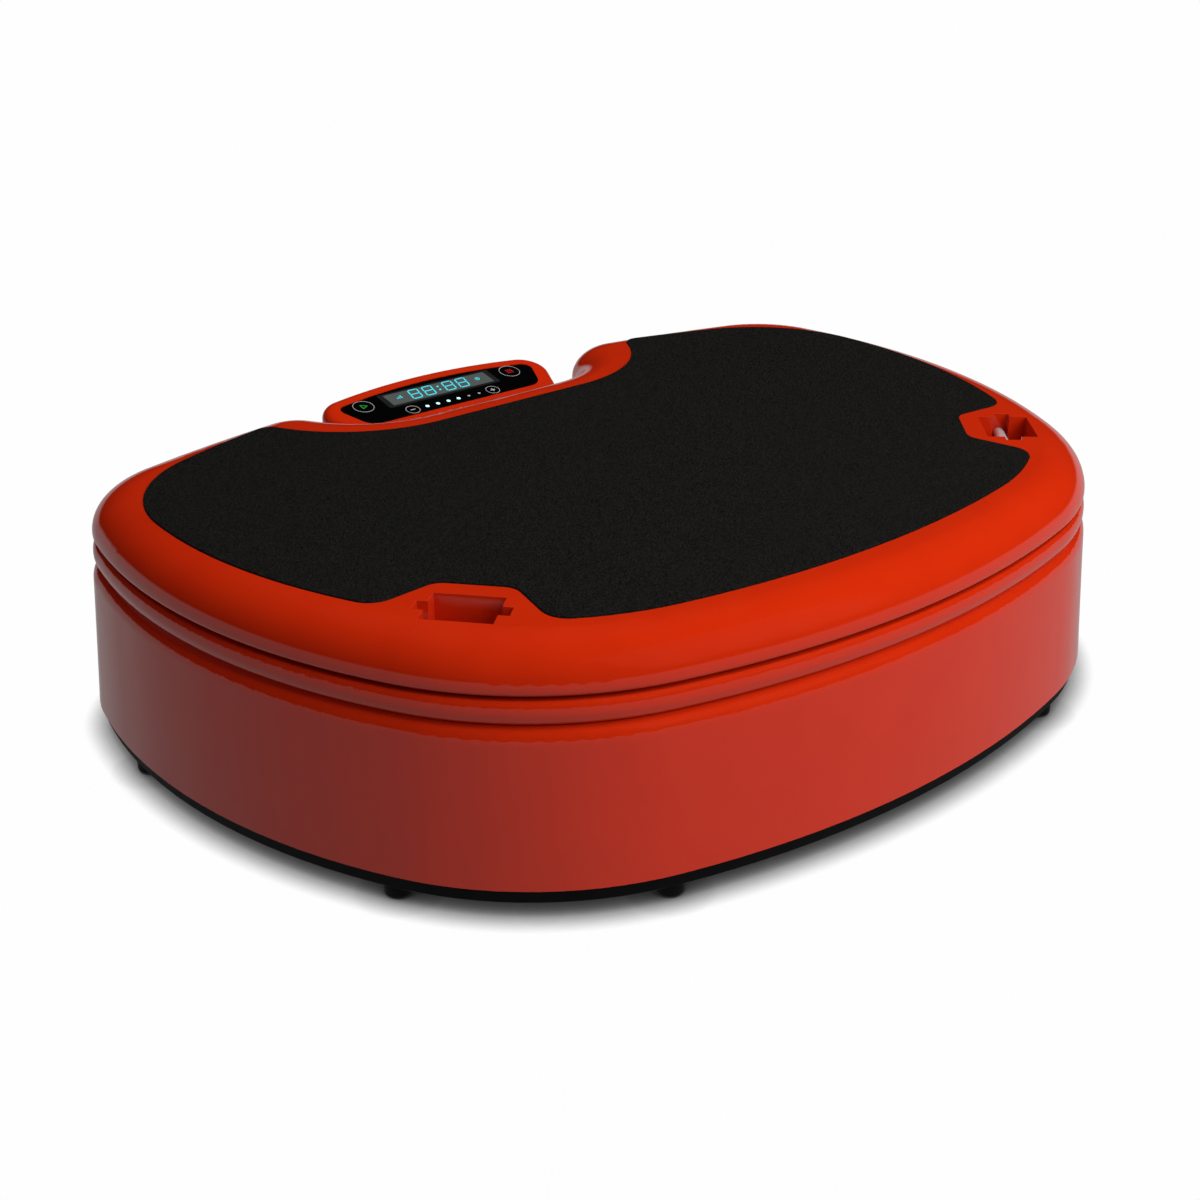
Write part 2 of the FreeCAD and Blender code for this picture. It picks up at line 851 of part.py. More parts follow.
def motor_grommets():
    grommets = []
    for side in (-1, 1):
        start = vec(side * (motor_x + motor_radius - 2), motor_y + clamp_spacing / 8, motor_z)
        grommet = rod(grommet_radius, start, ACROSS * side, grommet_length + 2)
        body = rod(motor_radius + fit_gap, motor_axis(side, motor_front), ALONG, motor_length)
        grommets.append(grommet.cut(body).cut(lead_bore(side)))
    return group(grommets)


def motor_caps():
    caps = []
    for side in (-1, 1):
        for end, way in ((motor_front, -1), (motor_back, 1)):
            outer = rod(motor_radius, motor_axis(side, end), ALONG * way, cap_thickness)
            spigot = rod(motor_radius - motor_wall - fit_gap, motor_axis(side, end - way * cap_spigot),
                         ALONG * way, cap_spigot)
            bore = rod(bearing_radius + fit_gap, motor_axis(side, end - way * cap_spigot),
                       ALONG * way, bearing_width + 2)
            hole = rod(shaft_radius + 1, motor_axis(side, end - way * cap_spigot),
                       ALONG * way, cap_spigot + cap_thickness)
            caps.append(join([outer, spigot]).cut(bore).cut(hole))
    return group(caps)


def motor_bearings():
    bearings = []
    for side in (-1, 1):
        for end, way in ((motor_front, -1), (motor_back, 1)):
            start = motor_axis(side, end - way * (cap_spigot - 2))
            bearing = tube(bearing_radius, bearing_radius - shaft_radius - fit_gap, start,
                           ALONG * way, bearing_width)
            bearings.append(bearing)
    return group(bearings)


def motor_stator(side):
    radius = motor_radius - motor_wall - fit_gap
    return tube(radius, radius - rotor_radius - air_gap, motor_axis(side, motor_y - core_length / 2),
                ALONG, core_length)


def motor_clamps():
    """Bored blocks that hang each motor from the carrier plate."""
    clamps = []
    for side in (-1, 1):
        for y in (motor_y - clamp_spacing / 2, motor_y + clamp_spacing / 2):
            start = motor_axis(side, y - clamp_width / 2)
            eye = rod(motor_radius + clamp_wall, start, ALONG, clamp_width)
            block = box(side * motor_x - clamp_half_width, side * motor_x + clamp_half_width,
                        y - clamp_width / 2, y + clamp_width / 2, motor_z + motor_radius / 2, carrier_bottom)
            clamps.append(join([eye, block]).cut(rod(motor_radius + fit_gap, start, ALONG, clamp_width)))
    return group(clamps)


weight_reach = motor_length / 2 + cap_thickness + weight_gap


def rotor(side):
    half = weight_reach + weight_thickness + shaft_overhang
    shaft = rod(shaft_radius, motor_axis(side, motor_y - half), ALONG, 2 * half)
    core = rod(rotor_radius, motor_axis(side, motor_y - core_length / 2), ALONG, core_length)
    return join([shaft, core])


def eccentric_weights(side):
    """Sector weights on both shaft ends. They hang straight down at rest."""
    weights = []
    for y in (motor_y - weight_reach - weight_thickness, motor_y + weight_reach):
        hub = rod(weight_hub_radius, motor_axis(side, y), ALONG, weight_thickness)
        sector = Part.makeCylinder(weight_radius, weight_thickness, ORIGIN, UP, weight_angle)
        sector.rotate(ORIGIN, UP, -90 - weight_angle / 2)
        sector.rotate(ORIGIN, ACROSS, 90)
        sector.translate(motor_axis(side, y + weight_thickness))
        bore = rod(shaft_radius + fit_gap, motor_axis(side, y), ALONG, weight_thickness)
        weights.append(join([hub, sector]).cut(bore))
    return group(weights)


def motor_carrier():
    carrier = box(-carrier_half_width, carrier_half_width, beam_front - beam_width / 2,
                  beam_rear + beam_width / 2, carrier_bottom, beam_bottom)
    window = box(-carrier_half_width / 4, carrier_half_width / 4, motor_y - clamp_spacing / 2,
                 motor_y + clamp_spacing / 2, carrier_bottom, beam_bottom)
    carrier = carrier.cut(window)
    for x in carrier_bolt_places():
        for y in (beam_front, beam_rear):
            carrier = carrier.cut(post(carrier_bolt_radius + fit_gap, x, y, carrier_bottom, beam_bottom))
    return carrier


def carrier_bolts():
    return group([screw(carrier_bolt_radius, x, y, carrier_bottom, carrier_thickness + beam_wall + 5)
                  for x in carrier_bolt_places() for y in (beam_front, beam_rear)])


# ---- floor pan, skirt, ridge band, feet ----

def foot_places():
    places = [on_path(base_path, heading, foot_in) for heading in foot_headings]
    return [(side * p.x, p.y) for p in places for side in (-1, 1)]


def skirt_screw_places():
    places = [on_path(base_path, heading, skirt_screw_in) for heading in skirt_screw_headings]
    return [(side * p.x, p.y) for p in places for side in (-1, 1)]


def base_pan():
    inner = skirt_foot + pan_clear
    profile = [
        (pan_in, pan_bottom + 1), (pan_in, skirt_bottom), (inner, skirt_bottom),
        (inner, skirt_bottom + pan_rise), (inner + pan_wall, skirt_bottom + pan_rise),
        (inner + pan_wall, pan_floor), (inner + pan_wall, pan_bottom), (pan_in + 1, pan_bottom),
    ]
    pan = ring(base_path, profile).fuse(slab(base_path, inner + pan_wall, pan_bottom, pan_floor))
    pan = pan.removeSplitter()
    for x, y in foot_places():
        boss_top = pan_floor + foot_screw_length - pan_wall
        boss = post(foot_screw_radius + 2.5, x, y, pan_bottom, boss_top)
        pan = pan.fuse(boss).cut(post(foot_screw_radius + fit_gap, x, y, pan_bottom, boss_top - 1))
    for x, y in skirt_screw_places():
        pan = pan.cut(post(skirt_screw_radius + fit_gap, x, y, pan_bottom, skirt_bottom))
        pan = pan.cut(post(screw_head_radius + loose_gap, x, y, pan_bottom,
                           pan_bottom + screw_head_height + 1))
    return pan.removeSplitter()


def rubber_feet():
    feet = []
    for x, y in foot_places():
        foot = post(foot_radius, x, y, 0, pan_bottom)
        tread = [edge for edge in foot.Edges if edge.BoundBox.ZMax < 0.1 and len(edge.Vertexes) == 1]
        foot = foot.makeFillet(foot_round, tread)
        recess = post(foot_screw_radius * 1.8 + loose_gap, x, y, 0, pan_bottom / 2)
        hole = post(foot_screw_radius + fit_gap, x, y, 0, pan_bottom)
        feet.append(foot.cut(recess).cut(hole))
    return group(feet)


def foot_screws():
    return group([screw(foot_screw_radius, x, y, pan_bottom / 2, pan_bottom / 2 + foot_screw_length - 2)
                  for x, y in foot_places()])


def skirt_screws():
    head_face = pan_bottom + screw_head_height + 1
    length = skirt_bottom + skirt_boss_height - head_face
    return group([screw(skirt_screw_radius, x, y, head_face, length, screw_head_radius, screw_head_height)
                  for x, y in skirt_screw_places()])


def base_skirt():
    inner = skirt_wall + shoulder_in
    profile = [
        (0, skirt_bottom), (shoulder_in, shoulder_z),
        ("quarter", (shoulder_in, shelf_top - 1)), (shoulder_edge_in, shelf_top - 1),
        (shoulder_edge_in + 1.5, shelf_top), (shoulder_edge_in + skirt_wall, shelf_top),
        (shoulder_edge_in + skirt_wall, shelf_bottom),
        (inner + 1, shoulder_z), (skirt_wall, skirt_bottom + skirt_wall),
        (skirt_foot, skirt_bottom + skirt_wall), (skirt_foot, skirt_bottom),
    ]
    skirt = ring(base_path, profile)
    flange = slab(base_path, shoulder_edge_in + skirt_wall, shelf_bottom, shelf_top)
    flange = flange.cut(slab(deck_path, frame_in, shelf_bottom, shelf_top))
    skirt = skirt.fuse(flange).removeSplitter()
    for x, y in skirt_screw_places():
        boss = post(skirt_boss_radius, x, y, skirt_bottom, skirt_bottom + skirt_boss_height + 2)
        skirt = skirt.fuse(boss).cut(post(skirt_screw_radius + fit_gap, x, y, skirt_bottom,
                                          skirt_bottom + skirt_boss_height))
    behind = ring(base_path, [(0, skirt_bottom), (shoulder_in, shoulder_z),
                              (2 * panel_recess, shoulder_z), (2 * panel_recess, skirt_bottom)])
    collar = panel_block(panel_rim, panel_face_y, base_back_y).common(behind)
    skirt = skirt.fuse(collar).cut(panel_block(0, panel_face_y - 1, base_back_y + 1))
    for x, z in panel_screw_places():
        skirt = skirt.cut(rod(panel_screw_radius + fit_gap, vec(x, panel_face_y, z), ALONG, 6.0))
    for x, y in console_post_places():
        skirt = skirt.cut(post(console_screw_radius + fit_gap, x, y, shelf_bottom, shelf_top))
    skirt = skirt.cut(post(cable_hole_radius, *cable_hole, shelf_bottom, shelf_top))
    return skirt.removeSplitter()


def ridge_band():
    inner = band_edge_in + band_depth
    middle = (band_top + band_bottom) / 2
    lip_in = inner - band_wall
    profile = [
        (band_edge_in, band_bottom), ("quarter", (band_crest_in, band_bottom)), (band_crest_in, middle),
        ("quarter", (band_crest_in, band_top)), (band_edge_in, band_top),
        (lip_in, band_top), (lip_in, band_top + band_lip_height), (inner, band_top + band_lip_height),
        (inner, band_top - band_wall), (band_edge_in + band_wall, band_top - band_wall),
        (band_edge_in + band_wall, band_bottom + band_wall), (inner, band_bottom + band_wall),
        (inner, shelf_top), (band_edge_in + 3.0, shelf_top),
    ]
    return ring(deck_path, profile)


# ---- console ----

def above_face(rise):
    """Everything above the tilted glass plane raised by rise, measured square to it."""
    size = overall_depth
    block = box(-size, size, -size, size, 0, size)
    block.rotate(ORIGIN, ACROSS, face_tilt)
    angle = math.radians(face_tilt)
    block.translate(vec(0, face_y - rise * math.sin(angle), face_height + rise * math.cos(angle)))
    return block


def face_layer(shape, low, high):
    return shape.common(above_face(low)).cut(above_face(high))


console_high = standing_height + 20


def console_slab(inset, low):
    """Upright block on the console's outline, up past its top."""
    return slab(glass_path, inset - console_border, low, console_high)


def console_post_places():
    return [(side * x, y) for x, y in zip(console_post_x, console_post_y) for side in (-1, 1)]


def board_screw_places():
    return [(side * (console_board_half - board_screw_in), y) for side in (-1, 1)
            for y in (console_board_front + board_screw_in, console_board_back - board_screw_back)]


def console_cover():
    body = console_slab(0, shelf_top).cut(above_face(console_rim))
    top = max(body.Faces, key=lambda face: face.CenterOfMass.z)
    body = body.makeFillet(console_round, top.Edges)
    body = body.cut(console_slab(console_wall, shelf_top - 1).cut(above_face(-console_shell)))
    body = body.cut(face_layer(slab(glass_path, -loose_gap, shelf_top, console_high),
                               -glass_thickness, console_rim + 1))
    window = box(-lcd_half_length - loose_gap, lcd_half_length + loose_gap, lcd_front - loose_gap,
                 lcd_back + loose_gap, shelf_top, console_high)
    body = body.cut(face_layer(window, -console_shell - 1, 0.0))
    inside = console_slab(console_wall, console_base_top).cut(above_face(1 - console_shell))
    posts = [post(console_post_radius, x, y, console_base_top, console_high).common(inside)
             for x, y in console_post_places()]
    small = [face_layer(post(board_boss_radius, x, y, shelf_top, console_high), board_rise, 1 - console_shell)
             for x, y in board_screw_places()]
    body = body.multiFuse(posts + small).removeSplitter()
    for x, y in console_post_places():
        body = body.cut(post(console_screw_radius + fit_gap, x, y, console_base_top,
                             console_base_top + console_screw_bite + 1))
    for x, y in board_screw_places():
        bore = post(board_screw_radius + fit_gap, x, y, shelf_top, console_high)
        body = body.cut(face_layer(bore, board_rise, board_rise + 4))
    return body


console_base_top = shelf_top + console_wall
board_rise = -glass_thickness - lcd_thickness


def console_base():
    inset = console_wall + loose_gap
    tray = slab(glass_path, inset - console_border, shelf_top, console_base_top)
    for x, y in console_post_places():
        tray = tray.cut(post(console_screw_radius + fit_gap, x, y, shelf_top, console_base_top))
    return tray.cut(post(cable_hole_radius, *cable_hole, shelf_top, console_base_top))


def console_screws():
    length = skirt_wall + console_wall + console_screw_bite
    screws = [screw(console_screw_radius, x, y, shelf_bottom, length) for x, y in console_post_places()]
    for x, y in board_screw_places():
        shank = face_layer(post(board_screw_radius, x, y, shelf_top, console_high),
                           board_rise - board_thickness, board_rise + 3)
        head = face_layer(post(board_screw_radius * 2, x, y, shelf_top, console_high),
                          board_rise - board_thickness - 1.2, board_rise - board_thickness)
        screws.append(join([shank, head]))
    return group(screws)


def console_glass():
    return face_layer(slab(glass_path, 0, shelf_top, console_high), -glass_thickness, 0.0)


def lcd_module():
    block = box(-lcd_half_length, lcd_half_length, lcd_front, lcd_back, shelf_top, console_high)
    return face_layer(block, board_rise, -glass_thickness)


def console_board():
    block = box(-console_board_half, console_board_half, console_board_front, console_board_back,
                shelf_top, console_high)
    board = face_layer(block, board_rise - board_thickness, board_rise)
    for x, y in board_screw_places():
        board = board.cut(post(board_screw_radius + fit_gap, x, y, shelf_top, console_high))
    return board


# ---- mains panel ----

panel_face_y = base_back_y - panel_recess


def panel_block(grow, y0, y1):
    return box(panel_x - panel_half_length - grow, panel_x + panel_half_length + grow, y0, y1,
               panel_z - panel_half_height - grow, panel_z + panel_half_height + grow)


def panel_screw_places():
    x = panel_half_length + panel_rim / 2
    z = panel_half_height + panel_rim / 2
    return [(panel_x + i * x, panel_z + k * z) for i in (-1, 1) for k in (-1, 1)]


def centred(x, half_length, half_height, y0, y1):
    return box(x - half_length, x + half_length, y0, y1, panel_z - half_height, panel_z + half_height)


switch_half_length = rocker_half_length + loose_gap + switch_wall
switch_half_height = rocker_half_height + rocker_clear + switch_wall
rocker_y = panel_face_y + switch_flange - rocker_out + 3.0


def inlet_panel():
    back = panel_face_y - panel_thickness
    panel = panel_block(panel_rim, back, panel_face_y)
    panel = panel.cut(centred(inlet_x, inlet_half_length + loose_gap, inlet_half_height + loose_gap,
                              back, panel_face_y))
    panel = panel.cut(centred(rocker_x, switch_half_length + loose_gap, switch_half_height + loose_gap,
                              back, panel_face_y))
    for x, z in panel_screw_places():
        panel = panel.cut(rod(panel_screw_radius + fit_gap, vec(x, back, z), ALONG, panel_thickness))
    for x in inlet_screw_places():
        panel = panel.cut(rod(panel_screw_radius + fit_gap, vec(x, back, panel_z), ALONG, panel_thickness))
    return panel


def inlet_screw_places():
    return [inlet_x - inlet_screw_x, inlet_x + inlet_screw_x]


def back_screw(x, z, head_face, way, length):
    """A small screw along Y, its head on head_face and its shank pointing along way."""
    head = rod(panel_screw_radius * 1.8, vec(x, head_face, z), ALONG * -way, 1.6)
    return join([head, rod(panel_screw_radius, vec(x, head_face, z), ALONG * way, length)])


def panel_screws():
    return group([back_screw(x, z, panel_face_y - panel_thickness, 1, panel_thickness + 5.5)
                  for x, z in panel_screw_places()])


def inlet_screws():
    head_face = panel_face_y + inlet_flange[2]
    return group([back_screw(x, panel_z, head_face, -1, inlet_flange[2] + panel_thickness + 2)
                  for x in inlet_screw_places()])


def mains_inlet():
    length, height, thickness = inlet_flange
    outer = panel_face_y + thickness
    body = join([centred(inlet_x, length, height, panel_face_y, outer),
                 centred(inlet_x, inlet_half_length, inlet_half_height, outer - inlet_body_length, outer)])
    half_length, half_height, depth = inlet_cavity
    cavity = centred(inlet_x, half_length, half_height, outer - depth, outer)
    upper = [edge for edge in cavity.Edges
             if abs(edge.BoundBox.YLength - depth) < 0.1 and edge.BoundBox.ZMin > panel_z]
    body = body.cut(cavity.makeChamfer(4.0, upper))
    for x in inlet_screw_places():
        body = body.cut(rod(panel_screw_radius + fit_gap, vec(x, panel_face_y, panel_z), ALONG, thickness))
    return body


def inlet_pins():
    thickness, half_height, length = inlet_pin
    floor = panel_face_y + inlet_flange[2] - inlet_cavity[2]
    pins = []
    for i, x in enumerate(inlet_pin_x):
        z = panel_z + (inlet_pin_rise if i == 1 else -inlet_pin_rise)
        pins.append(box(inlet_x + x - thickness, inlet_x + x + thickness, floor, floor + length,
                        z - half_height, z + half_height))
    return group(pins)


def rocker_housing():
    outer = panel_face_y + switch_flange
    body = join([centred(rocker_x, switch_half_length + 3, switch_half_height + 3, panel_face_y, outer),
                 centred(rocker_x, switch_half_length, switch_half_height, outer - switch_depth, outer)])
    body = body.cut(centred(rocker_x, rocker_half_length + loose_gap, rocker_half_height + rocker_clear,
                            rocker_y - 7.0, outer))
    half = rocker_half_length + rocker_pin_length + loose_gap
    pins = rod(rocker_pin_radius + fit_gap, vec(rocker_x - half, rocker_y, panel_z), ACROSS, 2 * half)
    return body.cut(pins)


def power_rocker():
    """Two-way paddle on its own pins, lying in its off position."""
    left = rocker_x - rocker_half_length
    high, dip = rocker_half_height, 1.2
    outline = [(-rocker_in, -high), (rocker_out, -high), (rocker_out - dip, 0), (rocker_out, high),
               (-rocker_in, high)]
    points = [vec(left, rocker_y + y, panel_z + z) for y, z in outline + outline[:1]]
    paddle = Part.Face(Part.makePolygon(points)).extrude(ACROSS * (2 * rocker_half_length))
    half = rocker_half_length + rocker_pin_length
    pins = rod(rocker_pin_radius, vec(rocker_x - half, rocker_y, panel_z), ACROSS, 2 * half)
    rocker = join([paddle, pins])
    rocker.rotate(vec(rocker_x, rocker_y, panel_z), ACROSS, -rocker_tilt)
    return rocker


# ---- electronics ----

circuit_bottom = pan_floor + standoff_height
circuit_top = circuit_bottom + board_thickness


def standoff_places(x):
    reach_x = circuit_half_length - standoff_inset
    reach_y = circuit_half_width - standoff_inset
    return [(x + i * reach_x, electronics_y + k * reach_y) for i in (-1, 1) for k in (-1, 1)]


def board_standoffs():
    return group([post(standoff_radius, x, y, pan_floor, circuit_bottom)
                  for centre in (supply_x, driver_x) for x, y in standoff_places(centre)])


def circuit_board(x):
    return box(x - circuit_half_length, x + circuit_half_length, electronics_y - circuit_half_width,
               electronics_y + circuit_half_width, circuit_bottom, circuit_top)


def on_board(x, y, half_x, half_y, height):
    return box(x - half_x, x + half_x, electronics_y + y - half_y, electronics_y + y + half_y,
               circuit_top, circuit_top + height)


def power_supply_board():
    pieces = [circuit_board(supply_x), on_board(supply_x + 8, 2, 15, 13, 26),
              on_board(supply_x - 34, 24, 6, 8, 12), on_board(supply_x + 36, -6, 4, 14, 18)]
    for i in range(3):
        pieces.append(post(7.0, supply_x - 24, electronics_y - 22 + 16 * i, circuit_top, circuit_top + 24))
    return group(pieces)


def motor_driver_board():
    sink = on_board(driver_x + 10, 0, 20, 22, 5)
    fins = [on_board(driver_x - 8 + 6 * i, 0, 1, 22, 22) for i in range(7)]
    pieces = [circuit_board(driver_x), join([sink] + fins)]
    pieces += [on_board(driver_x - 32, y, 6, 7, 11) for y in (-22, 0, 22)]
    return group(pieces)


def motor_lead(side):
    """From the driver board round the motor to the loose grommet in its side."""
    entry_x = side * (motor_x + motor_radius + 1)
    y = motor_y + clamp_spacing / 8
    start_x = driver_x - 32 + side * 3.5
    start = [(start_x, electronics_y - 29, circuit_top + 6), (start_x, electronics_y - 39, circuit_top + 6)]
    if side < 0:
        around = [(0, 128, 34), (-60, 128, 34), (-110, 120, 36), (-140, 92, 42)]
    else:
        around = [(60, 128, 34), (100, 126, 34), (134, 112, 38), (144, 86, 46)]
    finish = [(side * 146, 58, 62), (side * 142, y, 82), (side * 128, y, motor_z), (entry_x, y, motor_z)]
    return cable(start + around + finish, lead_radius)


def mains_wire():
    y = panel_face_y + inlet_flange[2] - inlet_body_length
    end_x, end_y = supply_x - 34, electronics_y + 24
    return cable([(inlet_x, y, panel_z), (inlet_x, y - 14, panel_z), (inlet_x - 16, y - 30, 66),
                  (end_x, end_y, 66), (end_x, end_y, circuit_top + 12)], 3.0)


def console_cable():
    x, y = cable_hole
    radius = 2.5
    tilt = math.radians(face_tilt)
    board_z = face_height + (y - face_y - radius) * math.tan(tilt) \
        + (board_rise - board_thickness) / math.cos(tilt)
    end_x, end_y = driver_x - 32, electronics_y + 22
    return cable([(x, y, board_z), (x, y, 116), (x + 2, y - 4, 92), (end_x, end_y, 70),
                  (end_x, end_y, circuit_top + 11)], radius)


# ---- the whole machine ----

os.makedirs("parts", exist_ok=True)

add("base_pan", base_pan())
add("base_skirt", base_skirt())
add("ridge_band", ridge_band())
add("rubber_feet", rubber_feet())
add("foot_screws", foot_screws())
add("skirt_screws", skirt_screws())
add("base_rail_left", base_rail(-1))
add("base_rail_right", base_rail(1))
add("isolator_pedestals", isolator_pedestals())
add("isolator_lower_plates", isolator_lower_plates())
add("isolator_lower_nuts", isolator_lower_nuts())
add("isolator_rubbers", isolator_rubbers())
add("console_base", console_base())
add("console_cover", console_cover())
add("console_glass", console_glass())
add("lcd_module", lcd_module())
add("console_board", console_board())
add("console_screws", console_screws())
add("power_supply_board", power_supply_board())
add("motor_driver_board", motor_driver_board())
add("board_standoffs", board_standoffs())
add("inlet_panel", inlet_panel())
add("panel_screws", panel_screws())
add("mains_inlet", mains_inlet())
add("inlet_pins", inlet_pins())
add("inlet_screws", inlet_screws())
add("rocker_housing", rocker_housing())
add("power_rocker", power_rocker())
add("mains_wire", mains_wire())
add("console_cable", console_cable())
add("deck_cover", deck_cover())
add("standing_mat", standing_mat())
add("deck_plate", deck_plate())
add("deck_screws", deck_screws())
add("deck_beam_front", deck_beam(beam_front))
add("deck_beam_rear", deck_beam(beam_rear))
add("isolator_upper_plates", isolator_upper_plates())
add("isolator_upper_nuts", isolator_upper_nuts())
add("motor_carrier", motor_carrier())
add("carrier_bolts", carrier_bolts())
add("motor_caps", motor_caps())
add("motor_bearings", motor_bearings())
add("motor_clamps", motor_clamps())
add("motor_grommets", motor_grommets())
add("strap_brackets", strap_brackets())
add("bracket_bolts", bracket_bolts())
for name, side in (("left", -1), ("right", 1)):
    strap_rod = at_well(rod_shape(rod_radius))
    add("strap_rod_" + name, mirrored(strap_rod) if side < 0 else strap_rod)
    add("motor_housing_" + name, motor_housing(side))
    add("motor_stator_" + name, motor_stator(side))
    add("rotor_" + name, rotor(side))
    add("eccentric_weights_" + name, eccentric_weights(side))
    add("motor_lead_" + name, motor_lead(side))

for name, shape in nodes.items():
    sizes = [round(solid.Volume) for solid in shape.Solids]
    print(name, "solids", len(sizes), "valid", shape.isValid(), "volume", sum(sizes))
    shape.exportStep("parts/" + name + ".step")
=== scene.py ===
import bpy
import json
import math
from mathutils import Matrix, Vector

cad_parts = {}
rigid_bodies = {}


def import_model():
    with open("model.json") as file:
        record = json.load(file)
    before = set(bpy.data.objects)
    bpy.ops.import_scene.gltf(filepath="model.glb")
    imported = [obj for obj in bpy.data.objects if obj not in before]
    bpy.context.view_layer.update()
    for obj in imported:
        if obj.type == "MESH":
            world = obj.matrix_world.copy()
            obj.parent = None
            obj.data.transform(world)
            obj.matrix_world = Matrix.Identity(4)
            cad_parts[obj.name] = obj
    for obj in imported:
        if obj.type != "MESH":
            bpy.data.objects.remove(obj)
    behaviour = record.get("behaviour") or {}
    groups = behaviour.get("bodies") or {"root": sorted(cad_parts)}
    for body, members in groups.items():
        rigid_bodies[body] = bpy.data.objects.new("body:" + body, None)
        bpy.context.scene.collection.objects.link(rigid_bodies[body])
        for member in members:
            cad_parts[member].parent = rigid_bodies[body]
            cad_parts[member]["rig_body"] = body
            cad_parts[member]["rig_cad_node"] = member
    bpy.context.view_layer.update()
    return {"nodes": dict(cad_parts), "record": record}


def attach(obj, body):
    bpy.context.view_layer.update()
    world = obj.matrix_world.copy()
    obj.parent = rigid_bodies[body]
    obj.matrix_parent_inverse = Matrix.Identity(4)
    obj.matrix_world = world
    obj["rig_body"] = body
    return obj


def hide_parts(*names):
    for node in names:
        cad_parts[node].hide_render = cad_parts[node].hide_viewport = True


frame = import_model()
bpy.ops.object.select_all(action="DESELECT")
print("frame loaded")


# small helpers

def startAlone(piece):
    bpy.ops.object.select_all(action="DESELECT")
    piece.select_set(True)
    bpy.context.view_layer.objects.active = piece


def pickFaces(piece, test):  # leaves edit mode on, with only the wanted faces selected
    startAlone(piece)
    bpy.ops.object.mode_set(mode="EDIT")
    bpy.ops.mesh.select_mode(type="FACE")
    bpy.ops.mesh.select_all(action="DESELECT")
    bpy.ops.object.mode_set(mode="OBJECT")
    for face in piece.data.polygons:
        face.select = test(face.center, face.normal)
    bpy.ops.object.mode_set(mode="EDIT")


def pushOut(offset):
    bpy.ops.mesh.extrude_region_move(TRANSFORM_OT_translate={"value": offset})


def leaveEdit():
    bpy.ops.mesh.select_all(action="SELECT")
    bpy.ops.mesh.normals_make_consistent(inside=False)
    bpy.ops.object.mode_set(mode="OBJECT")


def applyModifier(piece, modifier):
    startAlone(piece)
    bpy.ops.object.modifier_apply(modifier=modifier.name)


def copyOf(piece, place):
    twin = piece.copy()
    twin.data = piece.data.copy()
    bpy.context.scene.collection.objects.link(twin)
    twin.data.transform(place)
    return twin


def joinAs(name, pieces):
    bpy.ops.object.select_all(action="DESELECT")
    for piece in pieces:
        piece.select_set(True)
    bpy.context.view_layer.objects.active = pieces[0]
    if len(pieces) > 1:
        bpy.ops.object.join()
    whole = bpy.context.view_layer.objects.active
    whole.name = name
    whole.data.name = name
    bpy.ops.object.select_all(action="DESELECT")
    return whole


def paint(piece, material):
    piece.data.materials.clear()
    piece.data.materials.append(material)


# camera

camera = {"place": (-0.7932, -0.9134, 0.6169), "pitch": 65.145, "yaw": -39.73,
          "sensor": 36.0, "lens": 53.34, "clip": (0.02, 60.0)}
bpy.ops.object.camera_add(location=camera["place"],
                          rotation=(math.radians(camera["pitch"]), 0, math.radians(camera["yaw"])))
eye = bpy.context.object
eye.data.sensor_width = camera["sensor"]
eye.data.lens = camera["lens"]
eye.data.clip_start, eye.data.clip_end = camera["clip"]
bpy.context.scene.camera = eye
print("camera placed")


# node groups

def newGroup(name, inputs, outputs):
    group = bpy.data.node_groups.new(name, "ShaderNodeTree")
    for label, kind, value in inputs:
        group.interface.new_socket(label, in_out="INPUT", socket_type=kind).default_value = value
    for label, kind in outputs:
        group.interface.new_socket(label, in_out="OUTPUT", socket_type=kind)
    return group, group.nodes.new("NodeGroupInput"), group.nodes.new("NodeGroupOutput")


grainLook = {"fineDetail": 3.0, "broadDetail": 4.0, "broadScale": 0.06}


def grainGroup():  # two sizes of noise on the piece's own coordinates
    group, start, end = newGroup(
        "grain",
        [("Scale", "NodeSocketFloat", 300.0), ("Stretch", "NodeSocketVector", (1.0, 1.0, 1.0)),
         ("Contrast", "NodeSocketFloat", 1.0)],
        [("Fine", "NodeSocketFloat"), ("Broad", "NodeSocketFloat")])
    link = group.links.new
    coords = group.nodes.new("ShaderNodeTexCoord")
    mapping = group.nodes.new("ShaderNodeMapping")
    link(coords.outputs["Object"], mapping.inputs["Vector"])
    link(start.outputs["Stretch"], mapping.inputs["Scale"])
    fine = group.nodes.new("ShaderNodeTexNoise")
    fine.inputs["Detail"].default_value = grainLook["fineDetail"]
    link(mapping.outputs["Vector"], fine.inputs["Vector"])
    link(start.outputs["Scale"], fine.inputs["Scale"])
    lower = group.nodes.new("ShaderNodeMath")
    lower.operation = "MULTIPLY"
    lower.inputs[1].default_value = grainLook["broadScale"]
    link(start.outputs["Scale"], lower.inputs[0])
    broad = group.nodes.new("ShaderNodeTexNoise")
    broad.inputs["Detail"].default_value = grainLook["broadDetail"]
    link(mapping.outputs["Vector"], broad.inputs["Vector"])
    link(lower.outputs["Value"], broad.inputs["Scale"])
    centre = group.nodes.new("ShaderNodeMath")  # (fine - 0.5) * contrast + 0.5
    centre.operation = "SUBTRACT"
    centre.inputs[1].default_value = 0.5
    link(fine.outputs["Fac"], centre.inputs[0])
    stretch = group.nodes.new("ShaderNodeMath")
    stretch.operation = "MULTIPLY_ADD"
    stretch.use_clamp = True
    stretch.inputs[2].default_value = 0.5
    link(centre.outputs["Value"], stretch.inputs[0])
    link(start.outputs["Contrast"], stretch.inputs[1])
    link(stretch.outputs["Value"], end.inputs["Fine"])
    link(broad.outputs["Fac"], end.inputs["Broad"])
    return group


